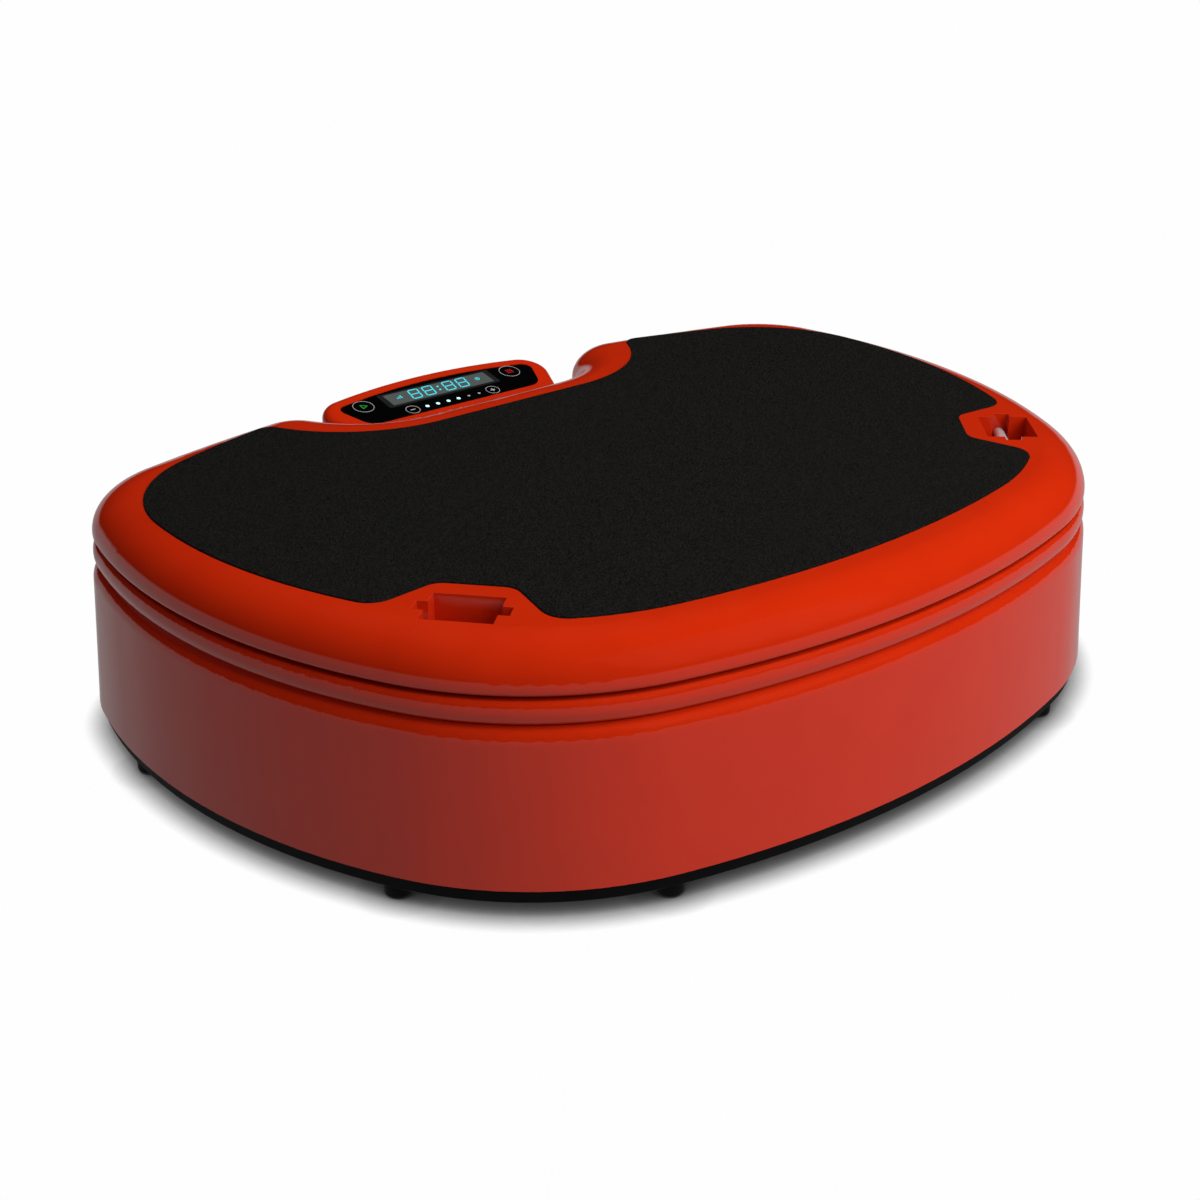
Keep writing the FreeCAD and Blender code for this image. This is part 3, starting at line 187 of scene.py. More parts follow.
handlingLook = {"detail": 6.0, "roughness": 0.65, "distortion": 0.6, "from": (0.48, 0.78)}


def handlingGroup():  # smudges and fine scuffs, as a mask
    group, start, end = newGroup(
        "handling",
        [("Scale", "NodeSocketFloat", 18.0), ("Amount", "NodeSocketFloat", 0.3)],
        [("Mask", "NodeSocketFloat")])
    link = group.links.new
    coords = group.nodes.new("ShaderNodeTexCoord")
    smudge = group.nodes.new("ShaderNodeTexNoise")
    smudge.inputs["Detail"].default_value = handlingLook["detail"]
    smudge.inputs["Roughness"].default_value = handlingLook["roughness"]
    smudge.inputs["Distortion"].default_value = handlingLook["distortion"]
    link(coords.outputs["Object"], smudge.inputs["Vector"])
    link(start.outputs["Scale"], smudge.inputs["Scale"])
    shape = group.nodes.new("ShaderNodeMapRange")
    shape.inputs["From Min"].default_value, shape.inputs["From Max"].default_value = handlingLook["from"]
    link(smudge.outputs["Fac"], shape.inputs["Value"])
    link(start.outputs["Amount"], shape.inputs["To Max"])
    link(shape.outputs["Result"], end.inputs["Mask"])
    return group


grain = grainGroup()
handling = handlingGroup()
print("node groups made")


# finishes

def placeGroup(material, group, values):
    node = material.node_tree.nodes.new("ShaderNodeGroup")
    node.node_tree = group
    for label, value in values.items():
        node.inputs[label].default_value = value
    return node


def makeFinish(name, look):
    material = bpy.data.materials.new(name)
    material.use_nodes = True
    nodes, link = material.node_tree.nodes, material.node_tree.links.new
    shader = nodes["Principled BSDF"]
    shader.inputs["Metallic"].default_value = look.get("metal", 0.0)
    shader.inputs["IOR"].default_value = look.get("ior", 1.5)
    shader.inputs["Coat Weight"].default_value = look.get("coat", 0.0)
    shader.inputs["Coat Roughness"].default_value = look.get("coatRough", 0.05)
    shader.inputs["Specular IOR Level"].default_value = look.get("specular", 0.5)
    if "glow" in look:
        shader.inputs["Emission Color"].default_value = (*look["glow"], 1)
        shader.inputs["Emission Strength"].default_value = look.get("glowStrength", 1.0)
    pattern = placeGroup(material, grain, {"Scale": look["grain"], "Stretch": look.get("stretch", (1, 1, 1)),
                                           "Contrast": look.get("contrast", 1.0)})
    marks = placeGroup(material, handling, {"Scale": look.get("markScale", 16.0),
                                            "Amount": look.get("marks", 0.25)})
    tones = nodes.new("ShaderNodeMix")
    tones.data_type = "RGBA"
    tones.inputs["A"].default_value = (*look["dark"], 1)
    tones.inputs["B"].default_value = (*look["light"], 1)
    link(pattern.outputs[look.get("toneFrom", "Broad")], tones.inputs["Factor"])
    rubbed = nodes.new("ShaderNodeMix")  # handling shifts the colour a little
    rubbed.data_type = "RGBA"
    rubbed.inputs["B"].default_value = (*look.get("rubbed", look["light"]), 1)
    link(marks.outputs["Mask"], rubbed.inputs["Factor"])
    link(tones.outputs["Result"], rubbed.inputs["A"])
    link(rubbed.outputs["Result"], shader.inputs["Base Color"])
    rough = nodes.new("ShaderNodeMapRange")
    rough.inputs["To Min"].default_value = look["rough"][0]
    rough.inputs["To Max"].default_value = look["rough"][1]
    mixed = nodes.new("ShaderNodeMath")
    mixed.operation = "ADD"
    link(pattern.outputs["Broad"], mixed.inputs[0])
    link(marks.outputs["Mask"], mixed.inputs[1])
    link(mixed.outputs["Value"], rough.inputs["Value"])
    link(rough.outputs["Result"], shader.inputs["Roughness"])
    bump = nodes.new("ShaderNodeBump")
    bump.inputs["Strength"].default_value = look.get("bump", 0.2)
    bump.inputs["Distance"].default_value = look.get("bumpDepth", 0.0002)
    link(pattern.outputs["Fine"], bump.inputs["Height"])
    link(bump.outputs["Normal"], shader.inputs["Normal"])
    return material


finishes = {
    "lacquer": {"dark": (0.575, 0.0205, 0.0022), "light": (0.625, 0.0250, 0.0026), "grain": 520.0,
                "rough": (0.045, 0.10), "bump": 0.05, "bumpDepth": 0.00004,
                "marks": 0.20, "markScale": 11.0, "rubbed": (0.60, 0.028, 0.004)},
    "mat": {"dark": (0.0012, 0.0012, 0.0010), "light": (0.0185, 0.0178, 0.0158), "grain": 1050.0,
            "toneFrom": "Fine", "contrast": 3.8, "rough": (0.82, 0.95), "bump": 0.6, "bumpDepth": 0.0005,
            "marks": 0.10, "markScale": 7.0, "rubbed": (0.011, 0.0106, 0.0095), "specular": 0.15},
    "satin": {"dark": (0.0075, 0.0075, 0.008), "light": (0.013, 0.013, 0.0135), "grain": 1500.0,
              "rough": (0.38, 0.58), "bump": 0.25, "bumpDepth": 0.0001, "marks": 0.3,
              "rubbed": (0.024, 0.024, 0.025)},
    "glossBlack": {"dark": (0.004, 0.004, 0.0045), "light": (0.006, 0.006, 0.0065), "grain": 900.0,
                   "rough": (0.10, 0.24), "coat": 0.4, "bump": 0.08, "bumpDepth": 0.00005, "marks": 0.3},
    "blackPan": {"dark": (0.0012, 0.0012, 0.0013), "light": (0.0024, 0.0024, 0.0025), "grain": 1500.0,
                 "rough": (0.55, 0.70), "bump": 0.25, "bumpDepth": 0.0001, "marks": 0.25,
                 "rubbed": (0.006, 0.006, 0.006), "specular": 0.12},
    # painted highlight: a lighter, pinker lacquer laid on the deck's eased corners
    "paintedEdgeHighlight": {"dark": (0.62, 0.060, 0.030), "light": (0.72, 0.115, 0.070), "grain": 520.0,
                    "rough": (0.06, 0.12), "bump": 0.04, "bumpDepth": 0.00004, "marks": 0.15},
    "rubber": {"dark": (0.008, 0.008, 0.008), "light": (0.018, 0.018, 0.017), "grain": 1100.0,
               "rough": (0.62, 0.85), "bump": 0.45, "bumpDepth": 0.0002, "marks": 0.35,
               "rubbed": (0.045, 0.043, 0.04)},
    "zinc": {"dark": (0.42, 0.42, 0.41), "light": (0.62, 0.62, 0.61), "grain": 1400.0, "metal": 1.0,
             "rough": (0.26, 0.46), "bump": 0.15, "bumpDepth": 0.00008, "marks": 0.4,
             "rubbed": (0.35, 0.34, 0.32)},
    "ground": {"dark": (0.68, 0.68, 0.69), "light": (0.82, 0.82, 0.83), "grain": 2200.0, "metal": 0.45,
               "stretch": (1.0, 1.0, 0.15), "rough": (0.16, 0.30), "bump": 0.12, "bumpDepth": 0.00004},
    "powder": {"dark": (0.028, 0.028, 0.031), "light": (0.045, 0.045, 0.049), "grain": 1300.0,
               "rough": (0.45, 0.62), "bump": 0.35, "bumpDepth": 0.00015, "marks": 0.3,
               "rubbed": (0.075, 0.075, 0.08)},
    "iron": {"dark": (0.10, 0.098, 0.095), "light": (0.20, 0.195, 0.19), "grain": 620.0, "metal": 0.85,
             "rough": (0.45, 0.70), "bump": 0.6, "bumpDepth": 0.0004, "marks": 0.4,
             "rubbed": (0.16, 0.10, 0.07)},
    "cast": {"dark": (0.40, 0.41, 0.42), "light": (0.56, 0.57, 0.58), "grain": 800.0, "metal": 0.9,
             "rough": (0.36, 0.56), "bump": 0.4, "bumpDepth": 0.0003, "marks": 0.3,
             "rubbed": (0.30, 0.30, 0.30)},
    "winding": {"dark": (0.20, 0.06, 0.018), "light": (0.50, 0.20, 0.07), "grain": 900.0, "metal": 0.7,
                "stretch": (1.0, 0.2, 1.0), "toneFrom": "Fine", "contrast": 2.0, "rough": (0.30, 0.45),
                "bump": 0.8, "bumpDepth": 0.0006},
    "board": {"dark": (0.006, 0.055, 0.018), "light": (0.016, 0.12, 0.045), "grain": 240.0,
              "toneFrom": "Fine", "contrast": 5.0, "rough": (0.28, 0.45), "coat": 0.3, "bump": 0.3,
              "bumpDepth": 0.0001},
    "sheath": {"dark": (0.010, 0.010, 0.011), "light": (0.018, 0.018, 0.019), "grain": 1600.0,
               "rough": (0.42, 0.6), "bump": 0.2, "bumpDepth": 0.0001},
    "glass": {"dark": (0.0006, 0.0006, 0.0007), "light": (0.0011, 0.0011, 0.0012), "grain": 300.0,
              "rough": (0.03, 0.13), "bump": 0.02, "bumpDepth": 0.00002, "marks": 0.35, "markScale": 26.0,
              "rubbed": (0.003, 0.003, 0.0032)},
    "lcdFrame": {"dark": (0.012, 0.0125, 0.0125), "light": (0.017, 0.0175, 0.0175), "grain": 800.0,
                 "rough": (0.22, 0.34), "bump": 0.05, "bumpDepth": 0.00003},
    "lcdFace": {"dark": (0.050, 0.058, 0.055), "light": (0.066, 0.074, 0.070), "grain": 1500.0,
                "rough": (0.30, 0.42), "bump": 0.08, "bumpDepth": 0.00003,
                "glow": (0.045, 0.055, 0.052), "glowStrength": 0.6},
    "cyan": {"dark": (0.02, 0.20, 0.24), "light": (0.03, 0.26, 0.30), "grain": 1200.0, "rough": (0.3, 0.4),
             "bump": 0.02, "glow": (0.045, 0.60, 0.70), "glowStrength": 1.15},
    "paleLight": {"dark": (0.5, 0.7, 0.75), "light": (0.6, 0.8, 0.85), "grain": 1200.0, "rough": (0.3, 0.4),
                  "bump": 0.02, "glow": (0.35, 0.85, 0.95), "glowStrength": 0.8},
    # grey print with a painted glow: emission on printed marks that are no lamps
    "greyPrintPaintedGlow": {"dark": (0.30, 0.30, 0.30), "light": (0.42, 0.42, 0.42), "grain": 1400.0,
                  "rough": (0.35, 0.5), "bump": 0.05, "glow": (0.3, 0.3, 0.3), "glowStrength": 0.35},
    "greenLight": {"dark": (0.01, 0.16, 0.02), "light": (0.015, 0.22, 0.03), "grain": 1400.0,
                   "rough": (0.3, 0.4), "bump": 0.02, "glow": (0.01, 0.30, 0.03), "glowStrength": 0.9},
    "redLight": {"dark": (0.20, 0.006, 0.006), "light": (0.28, 0.01, 0.01), "grain": 1400.0,
                 "rough": (0.3, 0.4), "bump": 0.02, "glow": (0.45, 0.008, 0.01), "glowStrength": 0.9},
    "whitePrint": {"dark": (0.60, 0.60, 0.60), "light": (0.72, 0.72, 0.72), "grain": 1400.0,
                   "rough": (0.4, 0.5), "bump": 0.05},
}
finish = {name: makeFinish(name, look) for name, look in finishes.items()}

slotFinish = {
    "red_cover": "lacquer", "mat": "mat", "black_plastic": "satin", "rocker": "glossBlack",
    "rubber": "rubber", "fastener_steel": "zinc", "painted_steel": "powder", "bright_steel": "ground",
    "weight_iron": "iron", "cast_aluminium": "cast", "stator_winding": "winding", "console_glass": "glass",
    "lcd": "lcdFace", "circuit_board": "board", "cable_sheath": "sheath",
}
for part in frame["record"]["subparts"]:
    paint(frame["nodes"][part["node"]], finish[slotFinish[part["material_slot"]]])
for node in ("base_pan", "rubber_feet"):
    paint(frame["nodes"][node], finish["blackPan"])
print("finishes made")


# moulded covers: the same shapes, with their edges eased

easing = {
    # the deck's eased corners carry a painted highlight
    "deck_cover": {"name": "deckShell", "body": "deck", "finish": "lacquer", "slot": "red_cover",
                   "ease": 0.0009, "edge": "paintedEdgeHighlight"},
    "standing_mat": {"name": "matPad", "body": "deck", "finish": "mat", "slot": "mat", "ease": 0.0005},
    "base_skirt": {"name": "skirtShell", "body": "base", "finish": "lacquer", "slot": "red_cover",
                   "ease": 0.0004},
    "ridge_band": {"name": "bandRing", "body": "base", "finish": "lacquer", "slot": "red_cover",
                   "ease": 0.0003},
    "console_cover": {"name": "consoleShell", "body": "base", "finish": "lacquer", "slot": "red_cover",
                      "ease": 0.0004},
}


meshCare = {"weld": 0.000002, "flat": 0.3, "corner": 40.0, "smooth": 32.0, "segments": 2}


def easedCopy(node, facts):
    piece = frame["nodes"][node].copy()
    piece.data = frame["nodes"][node].data.copy()
    piece.parent = None
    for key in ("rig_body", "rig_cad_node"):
        if key in piece:
            del piece[key]
    bpy.context.scene.collection.objects.link(piece)
    startAlone(piece)
    bpy.ops.mesh.customdata_custom_splitnormals_clear()
    bpy.ops.object.mode_set(mode="EDIT")
    bpy.ops.mesh.select_all(action="SELECT")
    bpy.ops.mesh.remove_doubles(threshold=meshCare["weld"])
    bpy.ops.mesh.dissolve_limited(angle_limit=math.radians(meshCare["flat"]))
    bpy.ops.object.mode_set(mode="OBJECT")
    bevel = piece.modifiers.new("ease", "BEVEL")
    bevel.width = facts["ease"]
    bevel.segments = meshCare["segments"]
    bevel.limit_method = "ANGLE"
    bevel.angle_limit = math.radians(meshCare["corner"])
    bevel.use_clamp_overlap = True
    paint(piece, finish[facts["finish"]])
    if "edge" in facts:  # painted highlight: the eased corners get a lighter, pinker lacquer than the faces
        piece.data.materials.append(finish[facts["edge"]])
        bevel.material = 1
    applyModifier(piece, bevel)
    bpy.ops.object.shade_smooth_by_angle(angle=math.radians(meshCare["smooth"]))
    even = piece.modifiers.new("even", "WEIGHTED_NORMAL")  # large faces keep their own direction
    even.weight = 100
    even.keep_sharp = True
    applyModifier(piece, even)
    piece.name = facts["name"]
    piece.data.name = facts["name"]
    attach(piece, facts["body"])
    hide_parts(node)
    print(piece.name, "faces", len(piece.data.polygons))
    return piece


for node, facts in easing.items():
    easedCopy(node, facts)
print("covers eased")


# console face

console = {
    "tilt": 12.3, "faceY": 0.2582, "faceZ": 0.1623,
    "print": 0.00012,                                        # thickness of printed and lit marks
    "window": (0.0, 0.2476, 0.055, 0.0108), "windowRound": 0.0018,   # centre x, centre y, half sizes
    "screen": (0.0, 0.2478, 0.050, 0.0084),
    "digitX": (-0.0235, -0.0100, 0.0100, 0.0235), "digitY": 0.2484, "digitWide": 0.0088, "digitTall": 0.0132,
    "stroke": 0.0012, "lean": 9.0,
    "play": (-0.0735, 0.2481, 0.00875), "stop": (0.0725, 0.2483, 0.0090),
    "minus": (-0.0398, 0.2279, 0.0060), "plus": (0.0398, 0.2280, 0.0060), "ringLine": 0.0004,
    "levels": (-0.0258, -0.0154, -0.0050, 0.0050, 0.0154, 0.0258), "levelY": 0.2278, "lit": 4,
    "litDot": 0.0017, "dimDot": 0.0011, "colonDot": 0.0010, "colonY": 0.0026,
    # how far the layers stand above the glass
    "frameLift": 0.00002, "keyLift": 0.00003, "screenLift": 0.00010, "digitLift": 0.00024,
    "screenRound": 0.0008,
    # rising bars on the display's left, a ring and dot on its right
    "barsX": -0.0390, "barHalf": 0.0004, "barHeights": (0.0008, 0.0015, 0.0022), "barPitch": 0.0021,
    "barRound": 0.0001, "ringX": 0.0390, "ringRadius": 0.0021, "ringWall": 0.0005, "ringDot": 0.0006,
    # marks inside the keys
    "arrow": (0.0038, 0.00055), "square": (0.00055, 0.0001, 0.0022), "signBar": (0.0023, 0.00045, 0.0002),
}


def faceMatrix(x, y, lift):  # a flat drawing round the origin goes onto the tilted glass
    tilt = math.radians(console["tilt"])
    along = (y - console["faceY"]) / math.cos(tilt)
    place = Vector((x, console["faceY"], console["faceZ"]))
    place += Vector((0, math.cos(tilt), math.sin(tilt))) * along
    place += Vector((0, -math.sin(tilt), math.cos(tilt))) * lift
    return Matrix.Translation(place) @ Matrix.Rotation(tilt, 4, "X")


def thicken(piece):  # a flat face becomes a thin raised mark
    startAlone(piece)
    bpy.ops.object.mode_set(mode="EDIT")
    bpy.ops.mesh.select_all(action="SELECT")
    pushOut((0, 0, console["print"]))
    leaveEdit()


def roundedPlate(halfX, halfY, corner):
    bpy.ops.mesh.primitive_plane_add(size=1, location=(0, 0, 0))
    plate = bpy.context.object
    plate.data.transform(Matrix.Diagonal((2 * halfX, 2 * halfY, 1, 1)))
    startAlone(plate)
    bpy.ops.object.mode_set(mode="EDIT")
    bpy.ops.mesh.select_all(action="SELECT")
    if corner > 0:
        bpy.ops.mesh.bevel(offset=corner, segments=4, affect="VERTICES")
    bpy.ops.object.mode_set(mode="OBJECT")
    thicken(plate)
    return plate


def disc(radius):
    bpy.ops.mesh.primitive_circle_add(vertices=40, radius=radius, fill_type="NGON", location=(0, 0, 0))
    piece = bpy.context.object
    thicken(piece)
    return piece


def hoop(radius, line):
    bpy.ops.mesh.primitive_circle_add(vertices=56, radius=radius, fill_type="NGON", location=(0, 0, 0))
    piece = bpy.context.object
    startAlone(piece)
    bpy.ops.object.mode_set(mode="EDIT")
    bpy.ops.mesh.select_mode(type="FACE")
    bpy.ops.mesh.select_all(action="SELECT")
    bpy.ops.mesh.inset(thickness=line)
    bpy.ops.mesh.delete(type="FACE")
    bpy.ops.object.mode_set(mode="OBJECT")
    thicken(piece)
    return piece


def bar(length, width):  # lit segment with pointed ends, lying along X
    bpy.ops.mesh.primitive_circle_add(vertices=4, radius=width / 2, fill_type="NGON", location=(0, 0, 0))
    piece = bpy.context.object
    startAlone(piece)
    bpy.ops.object.mode_set(mode="EDIT")
    bpy.ops.mesh.select_mode(type="VERT")
    bpy.ops.mesh.select_all(action="SELECT")
    bpy.ops.mesh.bevel(offset=width * 0.12, segments=1, affect="VERTICES")
    bpy.ops.object.mode_set(mode="OBJECT")
    for vertex in piece.data.vertices:
        if abs(vertex.co.x) > width * 0.02:
            vertex.co.x += math.copysign((length - width) / 2, vertex.co.x)
        elif vertex.co.y != 0:
            vertex.co.x = math.copysign((length - width) / 2, vertex.co.x)
    thicken(piece)
    return piece


def at(x, y, turn=0.0):
    return Matrix.Translation((x, y, 0)) @ Matrix.Rotation(math.radians(turn), 4, "Z")


def finishMark(name, pieces, x, y, lift, look):
    whole = joinAs(name, pieces)
    whole.data.transform(faceMatrix(x, y, lift))
    paint(whole, finish[look])
    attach(whole, "base")
    return whole


def discard(piece):
    bpy.data.objects.remove(piece)


x, y, halfX, halfY = console["window"]
finishMark("lcdFrame", [roundedPlate(halfX, halfY, console["windowRound"])], x, y, console["frameLift"],
           "lcdFrame")
x, y, halfX, halfY = console["screen"]
finishMark("lcdScreen", [roundedPlate(halfX, halfY, console["screenRound"])], x, y, console["screenLift"],
           "lcdFace")

segment = bar(console["digitWide"] - console["stroke"] * 0.5, console["stroke"])
upright = bar(console["digitTall"] / 2 - console["stroke"] * 0.35, console["stroke"])
digits = []
for centreX in console["digitX"]:
    halfW, halfT = console["digitWide"] / 2, console["digitTall"] / 2
    marks = [copyOf(segment, at(centreX, level)) for level in (-halfT, 0, halfT)]
    marks += [copyOf(upright, at(centreX + sideX, level, 90))
              for sideX in (-halfW, halfW) for level in (-halfT / 2, halfT / 2)]
    digits += marks
dot = disc(console["colonDot"])
digits += [copyOf(dot, at(0, level)) for level in (-console["colonY"], console["colonY"])]
for piece in (segment, upright, dot):
    discard(piece)
slant = math.tan(math.radians(console["lean"]))
for piece in digits:
    for vertex in piece.data.vertices:
        vertex.co.x += vertex.co.y * slant
finishMark("lcdDigits", digits, 0, console["digitY"], console["digitLift"], "cyan")

risingBars = [roundedPlate(console["barHalf"], tall, console["barRound"]) for tall in console["barHeights"]]
for step, piece in enumerate(risingBars):  # they stand on one line
    piece.data.transform(at(console["barPitch"] * (step - 1),
                            console["barHeights"][step] - console["barHeights"][1]))
finishMark("lcdBars", risingBars, console["barsX"], console["digitY"], console["digitLift"], "cyan")
ringAndDot = [hoop(console["ringRadius"], console["ringWall"]), disc(console["ringDot"])]
finishMark("lcdRing", ringAndDot, console["ringX"], console["digitY"], console["digitLift"], "cyan")


# the key rings are grey print with a painted glow
def button(name, facts, marks, look):
    x, y, radius = facts
    finishMark(name + "Ring", [hoop(radius, console["ringLine"])], x, y, console["keyLift"], "greyPrintPaintedGlow")
    finishMark(name + "Mark", marks, x, y, console["keyLift"], look)


arrowRadius, arrowLine = console["arrow"]
bpy.ops.mesh.primitive_circle_add(vertices=3, radius=arrowRadius, fill_type="NGON", location=(0, 0, 0))
arrow = bpy.context.object
arrow.data.transform(Matrix.Rotation(math.radians(-90), 4, "Z"))
startAlone(arrow)
bpy.ops.object.mode_set(mode="EDIT")
bpy.ops.mesh.select_mode(type="FACE")
bpy.ops.mesh.select_all(action="SELECT")
bpy.ops.mesh.inset(thickness=arrowLine)
bpy.ops.mesh.delete(type="FACE")
bpy.ops.object.mode_set(mode="OBJECT")
thicken(arrow)
button("play", console["play"], [arrow], "greenLight")
half, corner, pitch = console["square"]
squares = [roundedPlate(half, half, corner) for count in range(9)]
for count, piece in enumerate(squares):
    piece.data.transform(at((count % 3 - 1) * pitch, (count // 3 - 1) * pitch))
button("stop", console["stop"], squares, "redLight")
reach, half, corner = console["signBar"]
# the minus and plus signs are grey print with a painted glow
button("minus", console["minus"], [roundedPlate(reach, half, corner)], "greyPrintPaintedGlow")
crossBars = [roundedPlate(reach, half, corner), roundedPlate(half, reach, corner)]
crossBars[1].data.transform(Matrix.Translation((0, 0, 0.00001)))  # so that the two don't share a plane
button("plus", console["plus"], crossBars, "greyPrintPaintedGlow")
# the unlit level dots are grey print with a painted glow
for count, levelX in enumerate(console["levels"]):
    isLit = count < console["lit"]
    mark = disc(console["litDot"] if isLit else console["dimDot"])
    finishMark("level%d" % (count + 1), [mark], levelX, console["levelY"], console["keyLift"],
               "paleLight" if isLit else "greyPrintPaintedGlow")
print("console face made")


# screws with hexagon sockets, in place of the plain ones

def clustersOf(node, reach):  # boxes of the separate screws of a node, which stand further apart than reach
    groups = []
    for vertex in frame["nodes"][node].data.vertices:
        for group in groups:
            if (vertex.co - group[0]).length < reach:
                group.append(vertex.co.copy())
                break
        else:
            groups.append([vertex.co.copy()])
    boxes = []
    for group in groups:
        low = Vector([min(p[i] for p in group) for i in range(3)])
        high = Vector([max(p[i] for p in group) for i in range(3)])
        boxes.append((low, high))
    return boxes


def socketScrew(headRadius, headHeight, shankRadius, length, socket):  # head down at the origin, shank up
    bpy.ops.mesh.primitive_cylinder_add(vertices=36, radius=headRadius, depth=headHeight,
                                        location=(0, 0, headHeight / 2))
    body = bpy.context.object
    bpy.ops.object.transform_apply(location=True, rotation=True, scale=True)
    pickFaces(body, lambda centre, normal: normal.z < -0.9)
    bpy.ops.mesh.bevel(offset=headRadius * 0.16, segments=3, affect="EDGES")
    bpy.ops.object.mode_set(mode="OBJECT")
    pickFaces(body, lambda centre, normal: normal.z > 0.9)
    bpy.ops.mesh.inset(thickness=headRadius - shankRadius)
    pushOut((0, 0, length))
    bpy.ops.mesh.bevel(offset=shankRadius * 0.2, segments=1, affect="EDGES")
    leaveEdit()
    bpy.ops.mesh.primitive_cylinder_add(vertices=6, radius=socket, depth=headHeight * 1.1,
                                        location=(0, 0, 0))
    drill = bpy.context.object
    startAlone(body)
    cut = body.modifiers.new("socket", "BOOLEAN")
    cut.operation = "DIFFERENCE"
    cut.object = drill
    applyModifier(body, cut)
    discard(drill)
    bpy.ops.object.shade_smooth_by_angle(angle=math.radians(35))
    return body


screwSets = {
    "foot_screws": {"name": "footScrews", "head": (0.0036, 0.0024, 0.0020), "socket": 0.0018, "way": "up"},
    "skirt_screws": {"name": "skirtScrews", "head": (0.0036, 0.0024, 0.00175), "socket": 0.0017, "way": "up"},
    "inlet_screws": {"name": "inletScrews", "head": (0.0027, 0.0016, 0.0015), "socket": 0.0013, "way": "in"},
}
screwReach = 0.03
for node, facts in screwSets.items():
    boxes = clustersOf(node, screwReach)
    low, high = boxes[0]
    long = (high.z - low.z) if facts["way"] == "up" else (high.y - low.y)
    headRadius, headHeight, shankRadius = facts["head"]
    model = socketScrew(headRadius, headHeight, shankRadius, long - headHeight, facts["socket"])
    copies = []
    for low, high in boxes:
        middle = (low + high) / 2
        if facts["way"] == "up":
            place = Matrix.Translation((middle.x, middle.y, low.z))
        else:
            place = Matrix.Translation((middle.x, high.y, middle.z))
            place = place @ Matrix.Rotation(math.radians(90), 4, "X")
        copies.append(copyOf(model, place))
    discard(model)
    whole = joinAs(facts["name"], copies)
    paint(whole, finish["zinc"])
    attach(whole, "base")
    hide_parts(node)
print("screws made")


# marks on the mains rocker: a stroke and a ring

rocker = {"place": (0.022, 0.2540, 0.070), "turn": -10.0, "outer": 0.0070, "middle": 0.0058, "half": 0.011,
          "stroke": (0.0004, 0.0022, 0.0002), "ring": (0.0023, 0.0007)}


def rockerMark(name, piece, side):
    slope = math.atan2(rocker["outer"] - rocker["middle"], rocker["half"])
    depth = (rocker["outer"] + rocker["middle"]) / 2
    place = Matrix.Translation(rocker["place"])
    place = place @ Matrix.Rotation(math.radians(rocker["turn"]), 4, "X")
    place = place @ Matrix.Translation((0, depth, side * rocker["half"] / 2))
    place = place @ Matrix.Rotation(math.radians(-90) - side * slope, 4, "X")
    piece.data.transform(place)
    piece.name = name
    paint(piece, finish["whitePrint"])
    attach(piece, "power_rocker")


rockerMark("rockerStroke", roundedPlate(*rocker["stroke"]), 1)
rockerMark("rockerRing", hoop(*rocker["ring"]), -1)
print("rocker marks made")


# floor, light and surroundings

studio = {
    "bounce": (0.22, 0.22, 0.22), "seen": 0.99, "mirrored": 0.40,
    "contactReach": 0.020, "contactDepth": 2.4, "contactSamples": 16,
    "floorSize": 30, "floorDrop": 0.0002, "floorRough": 0.9, "aim": (0, 0, 0.1),
    "sky": 0.22, "mirroredTop": 0.004, "mirroredHorizon": 0.30, "horizonBand": 0.05,
    "key": {"place": (0.45, -1.50, 1.35), "size": 1.7, "power": 40.0},
    "fill": {"place": (0.4, 0.9, 1.9), "size": 1.6, "power": 14.0},
}


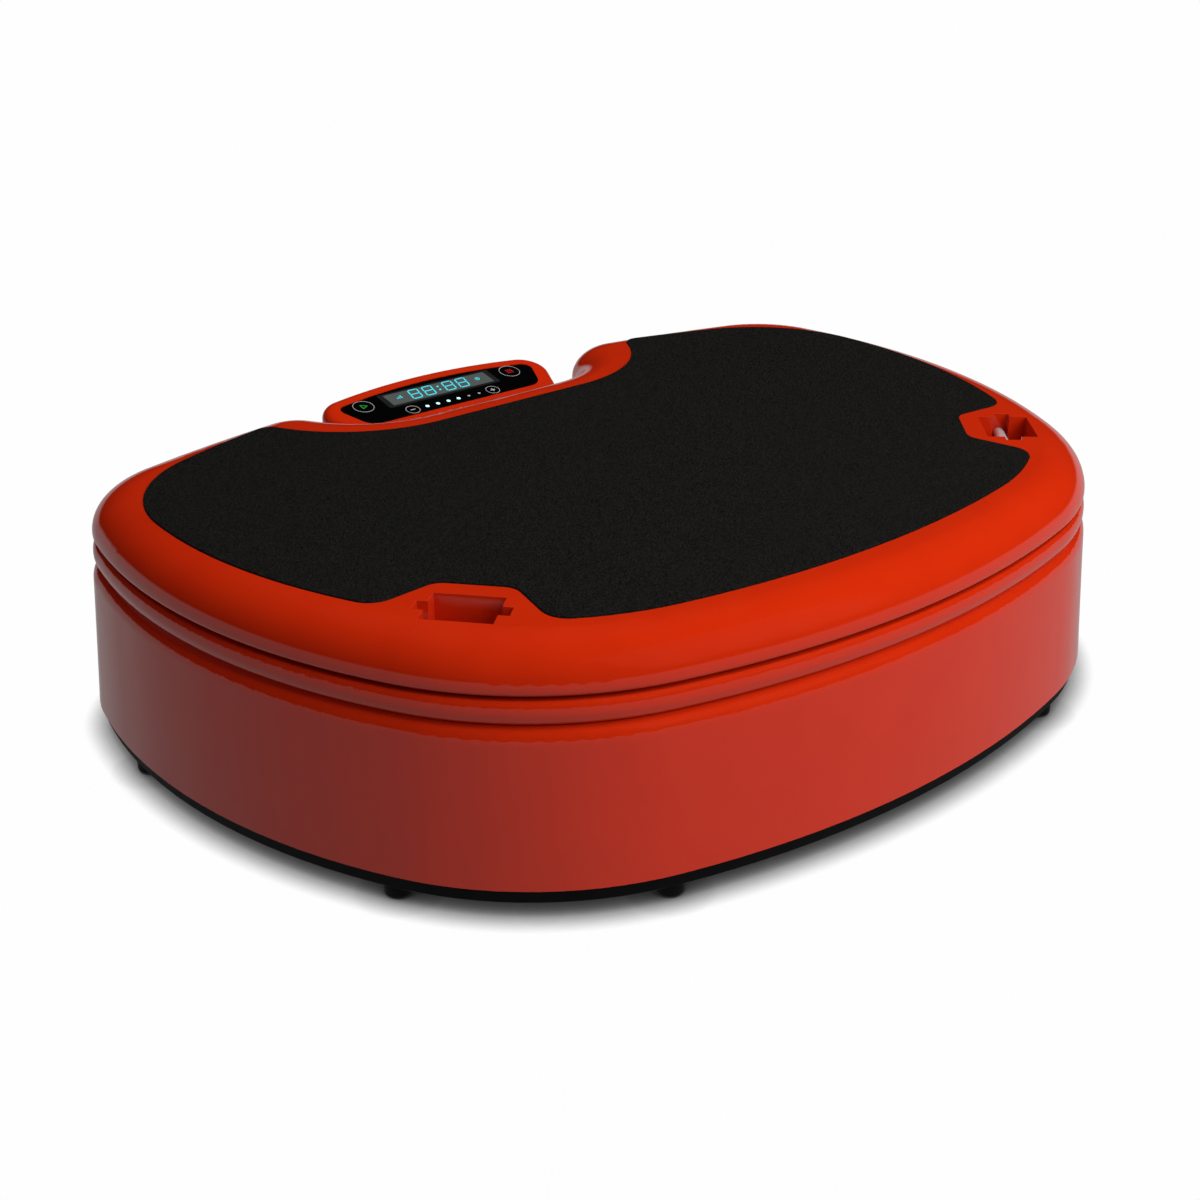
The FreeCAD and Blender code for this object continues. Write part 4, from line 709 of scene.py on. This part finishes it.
def floorMaterial():
    material = bpy.data.materials.new("paleFloor")
    material.use_nodes = True
    nodes, link = material.node_tree.nodes, material.node_tree.links.new
    shader = nodes["Principled BSDF"]
    shader.inputs["Base Color"].default_value = (*studio["bounce"], 1)
    shader.inputs["Roughness"].default_value = studio["floorRough"]
    shader.inputs["Specular IOR Level"].default_value = 0.0
    contact = nodes.new("ShaderNodeAmbientOcclusion")  # soft shade close round the base
    contact.samples = studio["contactSamples"]
    contact.inputs["Distance"].default_value = studio["contactReach"]
    deepen = nodes.new("ShaderNodeMath")
    deepen.operation = "POWER"
    deepen.inputs[1].default_value = studio["contactDepth"]
    link(contact.outputs["AO"], deepen.inputs[0])
    seen = nodes.new("ShaderNodeMath")
    seen.operation = "MULTIPLY"
    seen.inputs[1].default_value = studio["seen"]
    link(deepen.outputs["Value"], seen.inputs[0])
    path = nodes.new("ShaderNodeLightPath")
    level = nodes.new("ShaderNodeMix")
    level.data_type = "FLOAT"
    level.inputs["A"].default_value = studio["mirrored"]
    link(path.outputs["Is Camera Ray"], level.inputs["Factor"])
    link(seen.outputs["Value"], level.inputs["B"])
    plain = nodes.new("ShaderNodeEmission")
    link(level.outputs["Result"], plain.inputs["Strength"])
    either = nodes.new("ShaderNodeMath")
    either.operation = "MAXIMUM"
    link(path.outputs["Is Camera Ray"], either.inputs[0])
    link(path.outputs["Is Glossy Ray"], either.inputs[1])
    blend = nodes.new("ShaderNodeMixShader")
    link(either.outputs["Value"], blend.inputs["Fac"])
    link(shader.outputs["BSDF"], blend.inputs[1])
    link(plain.outputs["Emission"], blend.inputs[2])
    link(blend.outputs["Shader"], nodes["Material Output"].inputs["Surface"])
    return material


bpy.ops.mesh.primitive_plane_add(size=studio["floorSize"], location=(0, 0, -studio["floorDrop"]))
floor = bpy.context.object
floor.name = "floor"
paint(floor, floorMaterial())

for name in ("key", "fill"):
    facts = studio[name]
    bpy.ops.object.light_add(type="AREA", location=facts["place"])
    lamp = bpy.context.object
    lamp.name = name
    lamp.data.size = facts["size"]
    lamp.data.energy = facts["power"]
    aim = Vector(studio["aim"]) - Vector(facts["place"])
    lamp.rotation_euler = aim.to_track_quat("-Z", "Y").to_euler()
    lamp.visible_glossy = False

world = bpy.data.worlds.new("studio")
bpy.context.scene.world = world
world.use_nodes = True
nodes, link = world.node_tree.nodes, world.node_tree.links.new
sky = nodes["Background"]
coords = nodes.new("ShaderNodeTexCoord")
split = nodes.new("ShaderNodeSeparateXYZ")
link(coords.outputs["Generated"], split.inputs["Vector"])
rise = nodes.new("ShaderNodeMapRange")
rise.inputs["From Min"].default_value = 0.0
rise.inputs["From Max"].default_value = studio["horizonBand"]
rise.inputs["To Min"].default_value = studio["mirroredHorizon"]
rise.inputs["To Max"].default_value = studio["mirroredTop"]
link(split.outputs["Z"], rise.inputs["Value"])
path = nodes.new("ShaderNodeLightPath")
level = nodes.new("ShaderNodeMix")
level.data_type = "FLOAT"
level.inputs["A"].default_value = studio["sky"]
link(path.outputs["Is Glossy Ray"], level.inputs["Factor"])
link(rise.outputs["Result"], level.inputs["B"])
backdrop = nodes.new("ShaderNodeMix")
backdrop.data_type = "FLOAT"
backdrop.inputs["B"].default_value = studio["seen"]
link(path.outputs["Is Camera Ray"], backdrop.inputs["Factor"])
link(level.outputs["Result"], backdrop.inputs["A"])
sky.inputs["Color"].default_value = (1, 1, 1, 1)
link(backdrop.outputs["Result"], sky.inputs["Strength"])
bpy.context.scene.view_settings.view_transform = "Standard"
print("studio set")
